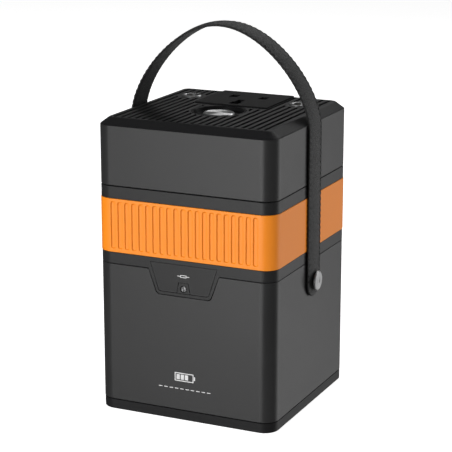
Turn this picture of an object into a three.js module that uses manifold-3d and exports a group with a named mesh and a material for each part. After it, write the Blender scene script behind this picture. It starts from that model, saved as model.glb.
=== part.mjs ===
// A small portable power station: a square tower of moulded plastic shells round a battery pack and an
// inverter, with an orange grip band, an outlet, a power button and two ports on its ribbed lid, a fuse
// door on its front and a leather carrying strap that swings on two shoulder screws.
// Millimetres. +Z is up, the front with the fuse door faces -Y, and the origin is on the ground under
// the middle of the tower.
import * as THREE from "three";
import { mergeVertices } from "three/addons/utils/BufferGeometryUtils.js";
import Module from "manifold-3d";

const wasm = await Module();
wasm.setup();

// ---- driving dimensions ----
const HALF = 65; // half the width and half the depth of the tower
const CORNER = 10.4; // radius of its four upright corners
const CORNER_STEPS = 4; // flats in each corner's round
const WALL = 2.5; // thickness of the moulded shells
const GAP = 0.3; // running gap between neighbouring pieces
const SEAM = 0.5; // visible seam between two shells

const Z_BASE = 0.3; // underside of the base cover: the feet stand this proud
const Z_LOWER = 7.3; // base cover to lower housing
const Z_FRAME = 104.4; // lower housing to middle frame
const Z_BAND = 112.3; // lower edge of the grip band
const Z_BAND_TOP = 149.5;
const Z_UPPER = 157.8; // middle frame to upper housing
const Z_BEVEL = 198.6; // upper housing to lid
const Z_LID = 203.4; // tops of the lid's ribs
const BEVEL = 6.4; // width of the lid's sloping edge

const RIB_PITCH = 5.16; // lid ribs, running front to back
const RIB_GROOVE = 2.3;
const RIB_DEPTH = 1.4;
const RIB_COUNT = 22;

const OUTLET = { halfX: 27, front: 9.2, back: 57.6, rise: 1.0 };
const DISH = { y: -9.75, radius: 18.6, floor: 3.2 };
const BUTTON = { radius: 10.8, below: 1.0, travel: 1.5 };
const PORT = { x: 41, y: 33, surround: 10.4, barrel: 7, bore: 5, pin: 1.25, bottom: 188, floor: 192 };

const PIVOT_Z = 90.1; // height of the strap's shoulder screws
const STRAP = { inner: 65.6, thick: 3.2, width: 22, apex: 261.8, legTop: 212 };

const CELL = { radius: 10.5, length: 70, pitch: 23, bottom: 14 };

// ---- colours ----
const paint = (color, roughness, metalness = 0) =>
  new THREE.MeshStandardMaterial({ color, roughness, metalness });
const graphite = () => paint(0x4a4a4c, 0.45);
const black = () => paint(0x1c1c1e, 0.5);
const orange = () => paint(0xe06a12, 0.5);
const rubber = () => paint(0x151515, 0.9);
const leather = () => paint(0x1f1f20, 0.7);
const steel = () => paint(0xc8c8ca, 0.3, 1);
const brass = () => paint(0xc9a24a, 0.35, 1);
const alloy = () => paint(0xb9bcc0, 0.4, 1);
const board = () => paint(0x1d5c33, 0.6);
const cellWrap = () => paint(0x2a6fa8, 0.5);
const wireRed = () => paint(0xb02020, 0.5);
const glass = () => paint(0xdfe8ea, 0.1);

// ---- helpers ----
// A closed three.js geometry as a solid that can be joined and cut.
function solid(geometry) {
  const bare = geometry.clone();
  bare.deleteAttribute("normal");
  bare.deleteAttribute("uv");
  const merged = mergeVertices(bare, 1e-4);
  const triVerts = new Uint32Array(merged.index.array);
  return new wasm.Manifold(
    new wasm.Mesh({ numProp: 3, vertProperties: merged.attributes.position.array, triVerts }),
  );
}

const group = new THREE.Group();

// Adds a solid to the model as the named piece.
function add(name, shape, material) {
  const { vertProperties, triVerts } = shape.getMesh();
  const geometry = new THREE.BufferGeometry();
  geometry.setAttribute("position", new THREE.BufferAttribute(vertProperties, 3));
  geometry.setIndex(new THREE.BufferAttribute(triVerts, 1));
  geometry.computeVertexNormals();
  const mesh = new THREE.Mesh(geometry, material);
  mesh.name = name;
  group.add(mesh);
}

// A box from its lowest to its highest corner.
function block(x0, x1, y0, y1, z0, z1) {
  const geometry = new THREE.BoxGeometry(x1 - x0, y1 - y0, z1 - z0);
  return solid(geometry.translate((x0 + x1) / 2, (y0 + y1) / 2, (z0 + z1) / 2));
}

// An upright cylinder.
function post(x, y, radius, z0, z1, sides = 16) {
  const geometry = new THREE.CylinderGeometry(radius, radius, z1 - z0, sides);
  return solid(geometry.rotateX(Math.PI / 2).translate(x, y, (z0 + z1) / 2));
}

// A cylinder along X.
function bar(x0, x1, y, z, radius, sides = 16) {
  const geometry = new THREE.CylinderGeometry(radius, radius, x1 - x0, sides);
  return solid(geometry.rotateZ(Math.PI / 2).translate((x0 + x1) / 2, y, z));
}

// A cylinder along Y.
function peg(x, y0, y1, z, radius, sides = 12) {
  const geometry = new THREE.CylinderGeometry(radius, radius, y1 - y0, sides);
  return solid(geometry.translate(x, (y0 + y1) / 2, z));
}

// A turned piece: profile points are [radius, height], from the axis back to the axis or closed.
function turned(profile, sides = 20) {
  const points = profile.map(([radius, height]) => new THREE.Vector2(radius, height));
  return new THREE.LatheGeometry(points, sides).rotateX(Math.PI / 2);
}

// The tower's outline: a square of the given half width with rounded corners.
function squareOutline(half, radius) {
  const shape = new THREE.Shape();
  const c = half - radius;
  shape.absarc(c, c, radius, 0, Math.PI / 2);
  shape.absarc(-c, c, radius, Math.PI / 2, Math.PI);
  shape.absarc(-c, -c, radius, Math.PI, Math.PI * 1.5);
  shape.absarc(c, -c, radius, Math.PI * 1.5, Math.PI * 2);
  return shape;
}

// The tower's outline drawn in by inset, as an upright solid.
function tower(inset, z0, z1) {
  const shape = squareOutline(HALF - inset, Math.max(CORNER - inset, 1));
  const geometry = new THREE.ExtrudeGeometry(shape, {
    depth: z1 - z0,
    bevelEnabled: false,
    curveSegments: CORNER_STEPS,
  });
  return solid(geometry.translate(0, 0, z0));
}

// A ring of wall that follows the tower's outline.
const wallRing = (inset, thick, z0, z1) =>
  tower(inset, z0, z1).subtract(tower(inset + thick, z0 - 1, z1 + 1));

// An outline drawn in X and Z on the front, as a solid from y0 back to y1.
function frontPlate(shape, y0, y1, curveSegments = 4) {
  const geometry = new THREE.ExtrudeGeometry(shape, {
    depth: y1 - y0,
    bevelEnabled: false,
    curveSegments,
  });
  return solid(geometry.rotateX(Math.PI / 2).translate(0, y1, 0));
}

// A trapezoid with rounded lower corners, wider at the top.
function tongueOutline(top, halfTop, bottom, halfBottom, radius) {
  const slope = (halfTop - halfBottom) / (top - bottom);
  const shape = new THREE.Shape();
  shape.moveTo(-halfTop, top);
  shape.lineTo(-halfBottom - slope * radius, bottom + radius);
  shape.quadraticCurveTo(-halfBottom, bottom, -halfBottom + radius, bottom);
  shape.lineTo(halfBottom - radius, bottom);
  shape.quadraticCurveTo(halfBottom, bottom, halfBottom + slope * radius, bottom + radius);
  shape.lineTo(halfTop, top);
  shape.closePath();
  return shape;
}

// A wire along a smooth line through the given points.
function wire(points, radius, steps) {
  const path = new THREE.CatmullRomCurve3(points.map((p) => new THREE.Vector3(...p)));
  const section = new THREE.Shape();
  section.absarc(0, 0, radius, 0, Math.PI * 2);
  return solid(
    new THREE.ExtrudeGeometry(section, { steps, extrudePath: path, curveSegments: 4 }),
  );
}

// ---- base: cover, rubber feet and the four screws that hold the cover ----
const FOOT = { at: 50, radius: 6.5, pocket: 1.2 };
const BASE_SCREW = { x: 36, y: 56.5, head: 2.9, counterbore: 3.4, shank: 1.4, hole: 1.9, top: 15.5 };

let baseCover = tower(0.15, Z_BASE, Z_LOWER - SEAM / 2);
baseCover = baseCover.subtract(tower(4, Z_BASE + 3, Z_LOWER + 1));
const corners = [
  ["front_left", -1, -1],
  ["front_right", 1, -1],
  ["back_left", -1, 1],
  ["back_right", 1, 1],
];
for (const [where, sx, sy] of corners) {
  const [x, y] = [sx * FOOT.at, sy * FOOT.at];
  baseCover = baseCover.subtract(post(x, y, FOOT.radius + GAP, -1, Z_BASE + FOOT.pocket));
  add(`foot_${where}`, post(x, y, FOOT.radius, 0, Z_BASE + FOOT.pocket - 0.05), rubber());

  const [screwX, screwY] = [sx * BASE_SCREW.x, sy * BASE_SCREW.y];
  baseCover = baseCover.subtract(post(screwX, screwY, BASE_SCREW.hole, -1, Z_LOWER + 1, 12));
  baseCover = baseCover.subtract(post(screwX, screwY, BASE_SCREW.counterbore, -1, Z_BASE + 1.5));
  const head = post(screwX, screwY, BASE_SCREW.head, Z_BASE + 0.1, Z_BASE + 1.4);
  const shank = post(screwX, screwY, BASE_SCREW.shank, Z_BASE + 1.3, BASE_SCREW.top, 12);
  add(`base_screw_${where}`, head.add(shank), steel());
}
add("base_cover", baseCover, black());

// ---- lower housing: shell with screw posts, strap bosses and the notch for the fuse tongue ----
const TONGUE = { halfTop: 25.9, bottom: 87.6, halfBottom: 19.5, radius: 2.6, depth: 15 };
const BOSS = { radius: 6.5, bore: 4.1, inner: 53, boreEnd: 62.6, hole: 3.3 };
const SCREW_POST = { radius: 3.8, hole: 1.7, top: 16.5, webHalf: 1.5, webEnd: 63 };

let lower = wallRing(0, WALL, Z_LOWER + SEAM / 2, Z_FRAME - SEAM / 2);
lower = lower.add(wallRing(0.5, 3, Z_LOWER + SEAM / 2, Z_LOWER + 3));
for (const [, sx, sy] of corners) {
  const [x, y] = [sx * BASE_SCREW.x, sy * BASE_SCREW.y];
  const [webLow, webHigh] = sy > 0 ? [y, SCREW_POST.webEnd] : [-SCREW_POST.webEnd, y];
  const postFoot = Z_LOWER + 0.4;
  const halfWeb = SCREW_POST.webHalf;
  lower = lower.add(post(x, y, SCREW_POST.radius, postFoot, SCREW_POST.top));
  lower = lower.add(block(x - halfWeb, x + halfWeb, webLow, webHigh, postFoot, SCREW_POST.top));
  lower = lower.subtract(post(x, y, SCREW_POST.hole, 0, SCREW_POST.top + 1, 12));
}
for (const side of [-1, 1]) {
  const sideBar = (from, to, radius) =>
    bar(Math.min(side * from, side * to), Math.max(side * from, side * to), 0, PIVOT_Z, radius);
  lower = lower.add(sideBar(BOSS.inner, HALF - 1, BOSS.radius));
  lower = lower.subtract(sideBar(BOSS.inner - 3, HALF + 1, BOSS.hole));
  lower = lower.subtract(sideBar(BOSS.inner - 3, BOSS.boreEnd, BOSS.bore));
}
const notch = tongueOutline(
  Z_FRAME + 2,
  TONGUE.halfTop + SEAM,
  TONGUE.bottom - SEAM,
  TONGUE.halfBottom + SEAM,
  TONGUE.radius,
);
lower = lower.subtract(frontPlate(notch, -HALF - 1, -HALF + TONGUE.depth + 1));
add("lower_housing", lower, graphite());

// ---- middle frame: the ring under the band, its lips, and the tongue with the fuse bay ----
const BAND_THICK = 2;
const BAND_PROUD = 0.3;
const FRAME_SEAT = HALF + BAND_PROUD - BAND_THICK - GAP; // half width under the band
const DOOR = { top: 109.1, halfTop: 24.4, bottom: 89.8, halfBottom: 18.2, radius: 2, thick: 2.2 };
const BAY = { halfX: 19, z0: 95.5, z1: 107, back: -51.5 };
const DOOR_SCREW_Z = 92.8;

let frame = wallRing(0, 4.5, Z_FRAME, Z_UPPER);
frame = frame.subtract(wallRing(-2, 2 + HALF - FRAME_SEAT, Z_BAND, Z_BAND_TOP));
frame = frame.add(wallRing(WALL + GAP, 1.7, Z_FRAME - 4, Z_FRAME + 1));
frame = frame.add(wallRing(WALL + GAP, 1.7, Z_UPPER - 1, Z_UPPER + 4));
const tongue = tongueOutline(
  Z_FRAME + 6,
  TONGUE.halfTop,
  TONGUE.bottom,
  TONGUE.halfBottom,
  TONGUE.radius,
);
frame = frame.add(frontPlate(tongue, -HALF, -HALF + TONGUE.depth));
const doorSeat = tongueOutline(
  DOOR.top + GAP,
  DOOR.halfTop + GAP,
  DOOR.bottom - GAP,
  DOOR.halfBottom + GAP,
  DOOR.radius,
);
frame = frame.subtract(frontPlate(doorSeat, -HALF - 1, -HALF + DOOR.thick + GAP));
frame = frame.subtract(block(-BAY.halfX, BAY.halfX, -HALF, BAY.back, BAY.z0, BAY.z1));
frame = frame.subtract(peg(0, -HALF, -55, DOOR_SCREW_Z, 1.8, 12));
add("middle_frame", frame, graphite());

// ---- grip band: soft orange sleeve with a row of upright pill grooves on its front ----
const PILL = { count: 21, pitch: 5.21, width: 3.4, z0: 114.8, z1: 147.5, depth: 0.8 };

function pillOutline(x) {
  const r = PILL.width / 2;
  const shape = new THREE.Shape();
  shape.absarc(x, PILL.z1 - r, r, 0, Math.PI);
  shape.absarc(x, PILL.z0 + r, r, Math.PI, Math.PI * 2);
  return shape;
}
let band = wallRing(-BAND_PROUD, BAND_THICK, Z_BAND + GAP / 2, Z_BAND_TOP - GAP / 2);
for (let k = 0; k < PILL.count; k++) {
  const x = (k - (PILL.count - 1) / 2) * PILL.pitch;
  const groove = frontPlate(pillOutline(x), -HALF - 2, -HALF - BAND_PROUD + PILL.depth, 4);
  band = band.subtract(groove);
}
add("grip_band", band, orange());

// ---- upper housing: plain shell with a ledge for the lid ----
let upper = wallRing(0, WALL, Z_UPPER + SEAM, Z_BEVEL);
upper = upper.add(wallRing(0.5, 4, Z_BEVEL - 9, Z_BEVEL - 6));
add("upper_housing", upper, graphite());

// ---- lid: bevelled cap with ribs, cut away for the outlet, the button dish and the two ports ----
const lidBlank = new THREE.ExtrudeGeometry(squareOutline(HALF - BEVEL, CORNER - BEVEL), {
  depth: 4,
  bevelThickness: Z_LID - Z_BEVEL,
  bevelSize: BEVEL,
  bevelSegments: 1,
  curveSegments: CORNER_STEPS,
}).translate(0, 0, Z_BEVEL - 4);
const LID_FLOOR = 200.2; // underside of the lid's top wall
const LID_CUT = 190; // where the openings in the lid are cut from, below the whole lid
let lid = solid(lidBlank).subtract(tower(-2, Z_BEVEL - 20, Z_BEVEL + 0.15));
lid = lid.subtract(tower(BEVEL + 2.5, Z_BEVEL - 1, LID_FLOOR));
lid = lid.add(wallRing(WALL + GAP, 2.2, Z_BEVEL - 5.5, Z_BEVEL + 0.5));

const ribKeepOut = [
  block(-OUTLET.halfX - 0.6, OUTLET.halfX + 0.6, OUTLET.front - 4, HALF, Z_LID - 5, Z_LID + 5),
  post(0, DISH.y, DISH.radius + 1.6, Z_LID - 5, Z_LID + 5, 28),
  post(-PORT.x, PORT.y, PORT.surround, Z_LID - 5, Z_LID + 5),
  post(PORT.x, PORT.y, PORT.surround, Z_LID - 5, Z_LID + 5),
];
for (let k = 0; k < RIB_COUNT; k++) {
  const x = (k - (RIB_COUNT - 1) / 2) * RIB_PITCH;
  const [x0, x1] = [x - RIB_GROOVE / 2, x + RIB_GROOVE / 2];
  let groove = block(x0, x1, -HALF + BEVEL + 1.4, HALF - BEVEL - 1.4, Z_LID - RIB_DEPTH, Z_LID + 1);
  for (const keep of ribKeepOut) groove = groove.subtract(keep);
  lid = lid.subtract(groove);
}
const OUTLET_BODY = { halfX: 23, y0: 12, y1: 54, z0: 182 };
lid = lid.subtract(
  block(
    -OUTLET_BODY.halfX - GAP,
    OUTLET_BODY.halfX + GAP,
    OUTLET_BODY.y0 - GAP,
    OUTLET_BODY.y1 + GAP,
    LID_CUT,
    Z_LID + 1,
  ),
);
lid = lid.subtract(post(0, DISH.y, DISH.radius + GAP, LID_CUT, Z_LID + 1, 28));
for (const side of [-1, 1]) {
  lid = lid.subtract(post(side * PORT.x, PORT.y, PORT.barrel + GAP, LID_CUT, Z_LID + 1));
}
add("lid_panel", lid, black());

// ---- mains outlet: moulded block with four pin openings, and its contacts ----
// Openings as [x, y, width, depth] of the rectangles that make them up.
const LINE_HOLE_X = 11.1;
const PIN_ROW_Y = 40;
const OUTLET_HOLES = [
  [-LINE_HOLE_X, PIN_ROW_Y, 6, 8.4],
  [LINE_HOLE_X, PIN_ROW_Y, 6, 8.4],
  [0, 24.5, 5, 8],
  [0, 16.6, 7.4, 8],
];
const HOLE_FLOOR = 186;
const OUTLET_TOP = Z_LID + OUTLET.rise;

let outlet = block(
  -OUTLET.halfX,
  OUTLET.halfX,
  OUTLET.front,
  OUTLET.back,
  Z_LID + 0.05,
  OUTLET_TOP,
);
outlet = outlet.add(
  block(
    -OUTLET_BODY.halfX,
    OUTLET_BODY.halfX,
    OUTLET_BODY.y0,
    OUTLET_BODY.y1,
    OUTLET_BODY.z0,
    Z_LID + 0.5,
  ),
);
for (const [x, y, w, d] of OUTLET_HOLES) {
  outlet = outlet.subtract(
    block(x - w / 2, x + w / 2, y - d / 2, y + d / 2, HOLE_FLOOR, OUTLET_TOP + 1),
  );
}
add("ac_outlet", outlet, black());

const CONTACTS = [
  ["outlet_contact_line", -LINE_HOLE_X, PIN_ROW_Y],
  ["outlet_contact_neutral", LINE_HOLE_X, PIN_ROW_Y],
  ["outlet_contact_earth", 0, 20],
];
for (const [name, x, y] of CONTACTS) {
  add(name, block(x - 2.2, x + 2.2, y - 3, y + 3, HOLE_FLOOR + 0.05, HOLE_FLOOR + 5), brass());
}

// ---- power button: metal cap in a round dish, with its switch below ----
const DISH_FLOOR = Z_LID - DISH.floor;
const BUTTON_TOP = Z_LID - BUTTON.below;
const SWITCH = { half: 8, bottom: 184, top: 196.5 };
const dishProfile = [
  [BUTTON.radius + GAP, DISH_FLOOR],
  [BUTTON.radius + GAP, DISH_FLOOR - 2],
  [DISH.radius, DISH_FLOOR - 2],
  [DISH.radius, Z_LID],
  [DISH.radius - 1.2, Z_LID],
  [DISH.radius - 2.2, DISH_FLOOR],
  [BUTTON.radius + GAP, DISH_FLOOR],
];
add("button_dish", solid(turned(dishProfile, 28).translate(0, DISH.y, 0)), black());

const buttonProfile = [
  [0, SWITCH.top + BUTTON.travel + 0.3],
  [BUTTON.radius, SWITCH.top + BUTTON.travel + 0.3],
  [BUTTON.radius, BUTTON_TOP - 0.7],
  [BUTTON.radius - 0.7, BUTTON_TOP - 0.1],
  [0, BUTTON_TOP],
];
add("power_button", solid(turned(buttonProfile, 28).translate(0, DISH.y, 0)), steel());
add(
  "power_switch",
  block(-SWITCH.half, SWITCH.half, DISH.y - SWITCH.half, DISH.y + SWITCH.half, SWITCH.bottom, SWITCH.top),
  black(),
);

// ---- direct-current ports: metal barrel with a centre pin, one each side of the outlet ----
for (const [name, side] of [
  ["dc_port_left", -1],
  ["dc_port_right", 1],
]) {
  const barrelProfile = [
    [0, PORT.bottom],
    [PORT.barrel - 1, PORT.bottom],
    [PORT.barrel - 1, LID_FLOOR - 2],
    [PORT.barrel, LID_FLOOR - 2],
    [PORT.barrel, Z_LID + 0.3],
    [PORT.barrel - 0.4, Z_LID + 0.7],
    [PORT.bore, Z_LID + 0.7],
    [PORT.bore, PORT.floor],
    [0, PORT.floor],
  ];
  const barrel = solid(turned(barrelProfile, 16).translate(side * PORT.x, PORT.y, 0));
  add(name, barrel, steel());
  const pin = post(side * PORT.x, PORT.y, PORT.pin, PORT.floor + 0.05, Z_LID - 1.5, 12);
  add(`${name}_pin`, pin, brass());
}

// ---- fuse door, its captive screw, the holder and the fuse ----
let door = frontPlate(
  tongueOutline(DOOR.top, DOOR.halfTop, DOOR.bottom, DOOR.halfBottom, DOOR.radius),
  -HALF,
  -HALF + DOOR.thick,
);
door = door.subtract(peg(0, -HALF - 1, -HALF + 1.3, DOOR_SCREW_Z, 2.5));
door = door.subtract(peg(0, -HALF - 1, -55, DOOR_SCREW_Z, 1.7, 12));
add("fuse_door", door, graphite());

const doorScrew = peg(0, -HALF + 0.2, -HALF + 1.15, DOOR_SCREW_Z, 2.2)
  .add(peg(0, -HALF + 1, -56, DOOR_SCREW_Z, 1.35, 12))
  .subtract(block(-0.35, 0.35, -HALF, -HALF + 0.7, DOOR_SCREW_Z - 3, DOOR_SCREW_Z + 3));
add("fuse_door_screw", doorScrew, steel());

const HOLDER = { halfX: 18.5, z0: 95.9, z1: 106.6, y0: -56.5, y1: -51.8 };
const CLIP = { inner: 10, outer: 13.5, front: -60.4 }; // the two jaws that grip the fuse
const FUSE = { radius: 3.2, halfX: 15, y: -57.4, z: 101.2 };
let holder = block(-HOLDER.halfX, HOLDER.halfX, HOLDER.y0, HOLDER.y1, HOLDER.z0, HOLDER.z1);
for (const side of [-1, 1]) {
  const [x0, x1] = side > 0 ? [CLIP.inner, CLIP.outer] : [-CLIP.outer, -CLIP.inner];
  holder = holder.add(block(x0, x1, CLIP.front, HOLDER.y0 + 1, HOLDER.z0, HOLDER.z1));
}
const clear = FUSE.radius + 0.2;
const room = FUSE.halfX + 2;
holder = holder.subtract(bar(-room, room, FUSE.y, FUSE.z, clear));
holder = holder.subtract(block(-room, room, -62, FUSE.y, FUSE.z - clear, FUSE.z + clear));
add("fuse_holder", holder, black());
add("fuse", bar(-FUSE.halfX, FUSE.halfX, FUSE.y, FUSE.z, FUSE.radius, 16), glass());

// ---- carrying strap: legs up both sides, a soft arch over the lid, round lower ends ----
// The legs run straight up past the lid's corners, which the strap sweeps round as it swings.
const KNEE = { x: 55.8, z: 222.4 };

// The right half of one long edge of the strap, foot to top, drawn out from the inner face.
function strapEdge(out) {
  const legX = STRAP.inner + out;
  const top = STRAP.apex - STRAP.thick + out;
  const lean = THREE.MathUtils.degToRad(38);
  const kneeX = KNEE.x + out * Math.cos(lean);
  const kneeZ = KNEE.z + out * Math.sin(lean);
  const edge = new THREE.Path();
  edge.moveTo(legX, PIVOT_Z - STRAP.width / 2);
  edge.lineTo(legX, STRAP.legTop);
  edge.bezierCurveTo(legX, STRAP.legTop + 5.5, kneeX + 5.2, kneeZ - 6.6, kneeX, kneeZ);
  edge.bezierCurveTo(kneeX - 12.4, kneeZ + 15.8, 26, top, 0, top);
  return edge.getPoints(7);
}
const mirror = (point) => new THREE.Vector2(-point.x, point.y);
const outerEdge = strapEdge(STRAP.thick);
const innerEdge = strapEdge(0);
const strapShape = new THREE.Shape([
  ...outerEdge,
  ...outerEdge.slice(0, -1).map(mirror).reverse(),
  ...innerEdge.map(mirror),
  ...innerEdge.slice(0, -1).reverse(),
]);
const half = STRAP.width / 2;
let strap = frontPlate(strapShape, -half, half);
const reach = STRAP.inner + STRAP.thick + 1;
const endTrim = block(-reach, reach, -half - 1, half + 1, PIVOT_Z - half - 1, PIVOT_Z).subtract(
  bar(-reach, reach, 0, PIVOT_Z, half, 24),
);
strap = strap.subtract(endTrim).subtract(bar(-reach, reach, 0, PIVOT_Z, 3.2));
add("carry_strap", strap, leather());

// ---- strap screws and the threaded inserts that they turn into ----
const screwProfile = [
  [0, 54],
  [2, 54],
  [2, 62.7],
  [2.9, 62.7],
  [2.9, 69.1],
  [7.2, 69.1],
  [7.2, 69.7],
  [6.6, 70.3],
  [2.2, 70],
  [0, 70],
];
const insertProfile = [
  [2.3, 54],
  [3.8, 54],
  [3.8, 62.3],
  [2.3, 62.3],
  [2.3, 54],
];
for (const [where, side] of [
  ["left", -1],
  ["right", 1],
]) {
  const place = (geometry) => solid(geometry.rotateY((side * Math.PI) / 2).translate(0, 0, PIVOT_Z));
  add(`strap_screw_${where}`, place(turned(screwProfile, 20)), steel());
  add(`strap_insert_${where}`, place(turned(insertProfile, 12)), brass());
}

// ---- battery pack: twelve cells between two holders, with the protection board on top ----
const ROWS = { x: 4, y: 3 };
const holderHalf = [(ROWS.x * CELL.pitch) / 2 + 1, (ROWS.y * CELL.pitch) / 2 + 1];
const cellTop = CELL.bottom + CELL.length;
let holderLow = block(-holderHalf[0], holderHalf[0], -holderHalf[1], holderHalf[1], 11, 18);
let holderHigh = block(
  -holderHalf[0],
  holderHalf[0],
  -holderHalf[1],
  holderHalf[1],
  cellTop - 4,
  cellTop + 3,
);
for (let i = 0; i < ROWS.x; i++) {
  for (let j = 0; j < ROWS.y; j++) {
    const x = (i - (ROWS.x - 1) / 2) * CELL.pitch;
    const y = (j - (ROWS.y - 1) / 2) * CELL.pitch;
    const hole = post(x, y, CELL.radius + GAP, CELL.bottom - 0.1, cellTop + 0.1, 12);
    holderLow = holderLow.subtract(hole);
    holderHigh = holderHigh.subtract(hole);
    const cell = post(x, y, CELL.radius, CELL.bottom, cellTop, 12);
    add(`cell_${i * ROWS.y + j + 1}`, cell, cellWrap());
  }
}
add("cell_holder_lower", holderLow, black());
add("cell_holder_upper", holderHigh, black());
add("protection_board", block(-40, 40, -28, 28, cellTop + 5, cellTop + 6.6), board());

// ---- inverter: tray, board, transformer, heat sink and capacitors ----
const TRAY_Z = 112;
const BOARD_Z = TRAY_Z + 6;
const BOARD_TOP = BOARD_Z + 1.6;
add("board_tray", block(-54, 54, -46, 58, TRAY_Z, TRAY_Z + 2), black());
add("inverter_board", block(-52, 52, -44, 52, BOARD_Z, BOARD_TOP), board());
add("transformer", block(-46, -12, 8, 42, BOARD_TOP + 0.1, BOARD_TOP + 30), paint(0xd8b04a, 0.6));
let sink = block(6, 46, -40, 36, BOARD_TOP + 0.1, BOARD_TOP + 5);
for (let k = 0; k < 7; k++) {
  const x = 7 + k * 6.1;
  sink = sink.add(block(x, x + 1.8, -40, 36, BOARD_TOP + 4, BOARD_TOP + 28));
}
add("heat_sink", sink, alloy());
add("capacitor_front", post(-36, -26, 9, BOARD_TOP + 0.1, BOARD_TOP + 32, 16), paint(0x26262c, 0.4));
add("capacitor_back", post(-14, -26, 9, BOARD_TOP + 0.1, BOARD_TOP + 32, 16), paint(0x26262c, 0.4));

// ---- inside wiring, each lead along its own run ----
const LEADS = [
  {
    name: "battery_lead",
    points: [
      [36, -10, 92.4],
      [46, -13, 94],
      [54, -16, 99],
      [57.2, -18, 108],
      [57.2, -20, 118],
      [53.5, -22, 125],
      [49.2, -23, 121.4],
    ],
    radius: 1.4,
    steps: 12,
  },
  {
    name: "outlet_lead",
    points: [
      [-20, 48, 121.4],
      [-26, 50, 135],
      [-22, 50, 155],
      [-14, 44, 172],
      [-12, 42, 181.2],
    ],
    radius: 1.2,
    steps: 9,
  },
  {
    name: "port_lead",
    points: [
      [30, 46, 121.2],
      [44, 48, 135],
      [50, 44, 155],
      [46, 38, 175],
      [41, 33, 187.2],
    ],
    radius: 1,
    steps: 9,
  },
  {
    name: "switch_lead",
    points: [
      [-25, -38, 121.2],
      [-26, -44, 135],
      [-20, -38, 158],
      [-6, -20, 174],
      [0, -10, 183.2],
    ],
    radius: 1,
    steps: 9,
  },
  {
    name: "fuse_lead",
    points: [
      [0, -48.5, 100],
      [0, -48.3, 106],
      [1, -49.4, 113],
      [1, -49.6, 120],
      [0, -46.4, 125],
      [-1, -42.2, 121.2],
    ],
    radius: 1.1,
    steps: 10,
  },
];
for (const { name, points, radius, steps } of LEADS) {
  add(name, wire(points, radius, steps), wireRed());
}

export default group;
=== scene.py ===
"""A square camping power station with a ribbed lid, an orange grip band and a leather carrying strap."""

import math

import bmesh
import bpy
import numpy as np
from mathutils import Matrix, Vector


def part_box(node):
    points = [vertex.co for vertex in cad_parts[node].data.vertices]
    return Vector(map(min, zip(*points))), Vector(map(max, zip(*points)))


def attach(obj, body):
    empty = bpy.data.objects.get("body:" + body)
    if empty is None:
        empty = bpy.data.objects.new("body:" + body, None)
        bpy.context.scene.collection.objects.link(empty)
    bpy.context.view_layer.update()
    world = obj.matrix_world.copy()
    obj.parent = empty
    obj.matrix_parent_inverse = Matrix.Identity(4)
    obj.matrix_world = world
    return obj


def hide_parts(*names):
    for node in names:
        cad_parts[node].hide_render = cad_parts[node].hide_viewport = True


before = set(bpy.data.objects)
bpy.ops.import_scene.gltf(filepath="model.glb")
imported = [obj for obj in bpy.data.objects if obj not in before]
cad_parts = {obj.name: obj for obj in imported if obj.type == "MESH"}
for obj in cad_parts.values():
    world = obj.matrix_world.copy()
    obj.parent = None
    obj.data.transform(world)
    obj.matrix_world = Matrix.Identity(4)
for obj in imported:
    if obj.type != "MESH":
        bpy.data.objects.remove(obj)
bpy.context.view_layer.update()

# ---- Camera ----
# A long lens from the front right, a little above the lid, so that the front and the right side show.
CAMERA_PLACE = (0.4739, -1.0160, 0.4181)
CAMERA_AZIMUTH = math.radians(24.97)
CAMERA_ELEVATION = math.radians(14.86)


def add_to_scene(name, data):
    """A new object in the scene, made from a mesh, a light or a camera."""
    made = bpy.data.objects.new(name, data)
    bpy.context.scene.collection.objects.link(made)
    return made


lens = bpy.data.cameras.new("camera")
lens.sensor_width = 36.0
lens.lens = 133.54
camera = add_to_scene("camera", lens)
camera.location = CAMERA_PLACE
camera.rotation_euler = (math.pi / 2 - CAMERA_ELEVATION, 0.0, CAMERA_AZIMUTH)
bpy.context.scene.camera = camera


# ---- Studio: pale floor and soft light ----
# Eight soft panels in a dim room. The first four show as reflections: in front, at the back right, and
# high and low at the back. The others only light, so that shine and plain tone can be set apart. Some
# reach below the floor, because the upright faces mirror what is low.
PANEL_AIM = Vector((0.0, 0.0, 0.12))
PANELS = (
    # name, place, width, height, power, whether it shows in reflections
    ("front_mirror", (-0.30, -1.50, 0.08), 0.90, 1.25, 7.6, True),
    ("back_mirror", (0.95, 1.05, -0.05), 0.95, 1.8, 5.6, True),
    ("high_mirror", (0.02, 1.10, 1.05), 1.4, 0.35, 3.4, True),
    ("low_back_mirror", (-0.40, 1.20, -0.35), 0.9, 0.7, 1.1, True),
    ("front_left_panel", (-0.55, -1.45, 0.45), 1.2, 1.2, 26, False),
    ("right_panel", (1.30, 0.55, 0.35), 0.9, 0.9, 10, False),
    ("low_panel", (0.80, -0.50, -0.60), 1.0, 1.0, 3, False),
    ("top_panel", (-0.2, -0.1, 1.9), 0.8, 0.8, 7, False),
)
for name, place, width, height, power, mirrored in PANELS:
    light = bpy.data.lights.new(name, "AREA")
    light.shape = "RECTANGLE"
    light.size = width
    light.size_y = height
    light.energy = power
    panel = add_to_scene(name, light)
    panel.location = place
    panel.rotation_euler = (PANEL_AIM - Vector(place)).to_track_quat("-Z", "Y").to_euler()
    panel.visible_glossy = mirrored


def add_node(tree, kind, settings=None, values=None):
    """A new shader node in a tree, with its settings by name and its inputs' values by name or number."""
    node = tree.nodes.new("ShaderNode" + kind)
    for setting, choice in (settings or {}).items():
        setattr(node, setting, choice)
    for socket, value in (values or {}).items():
        node.inputs[socket].default_value = value
    return node


def join(tree, *links):
    """Links in a tree, each from a node and its output to a node and its input."""
    for source, output, target, socket in links:
        tree.links.new(source.outputs[output], target.inputs[socket])


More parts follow.
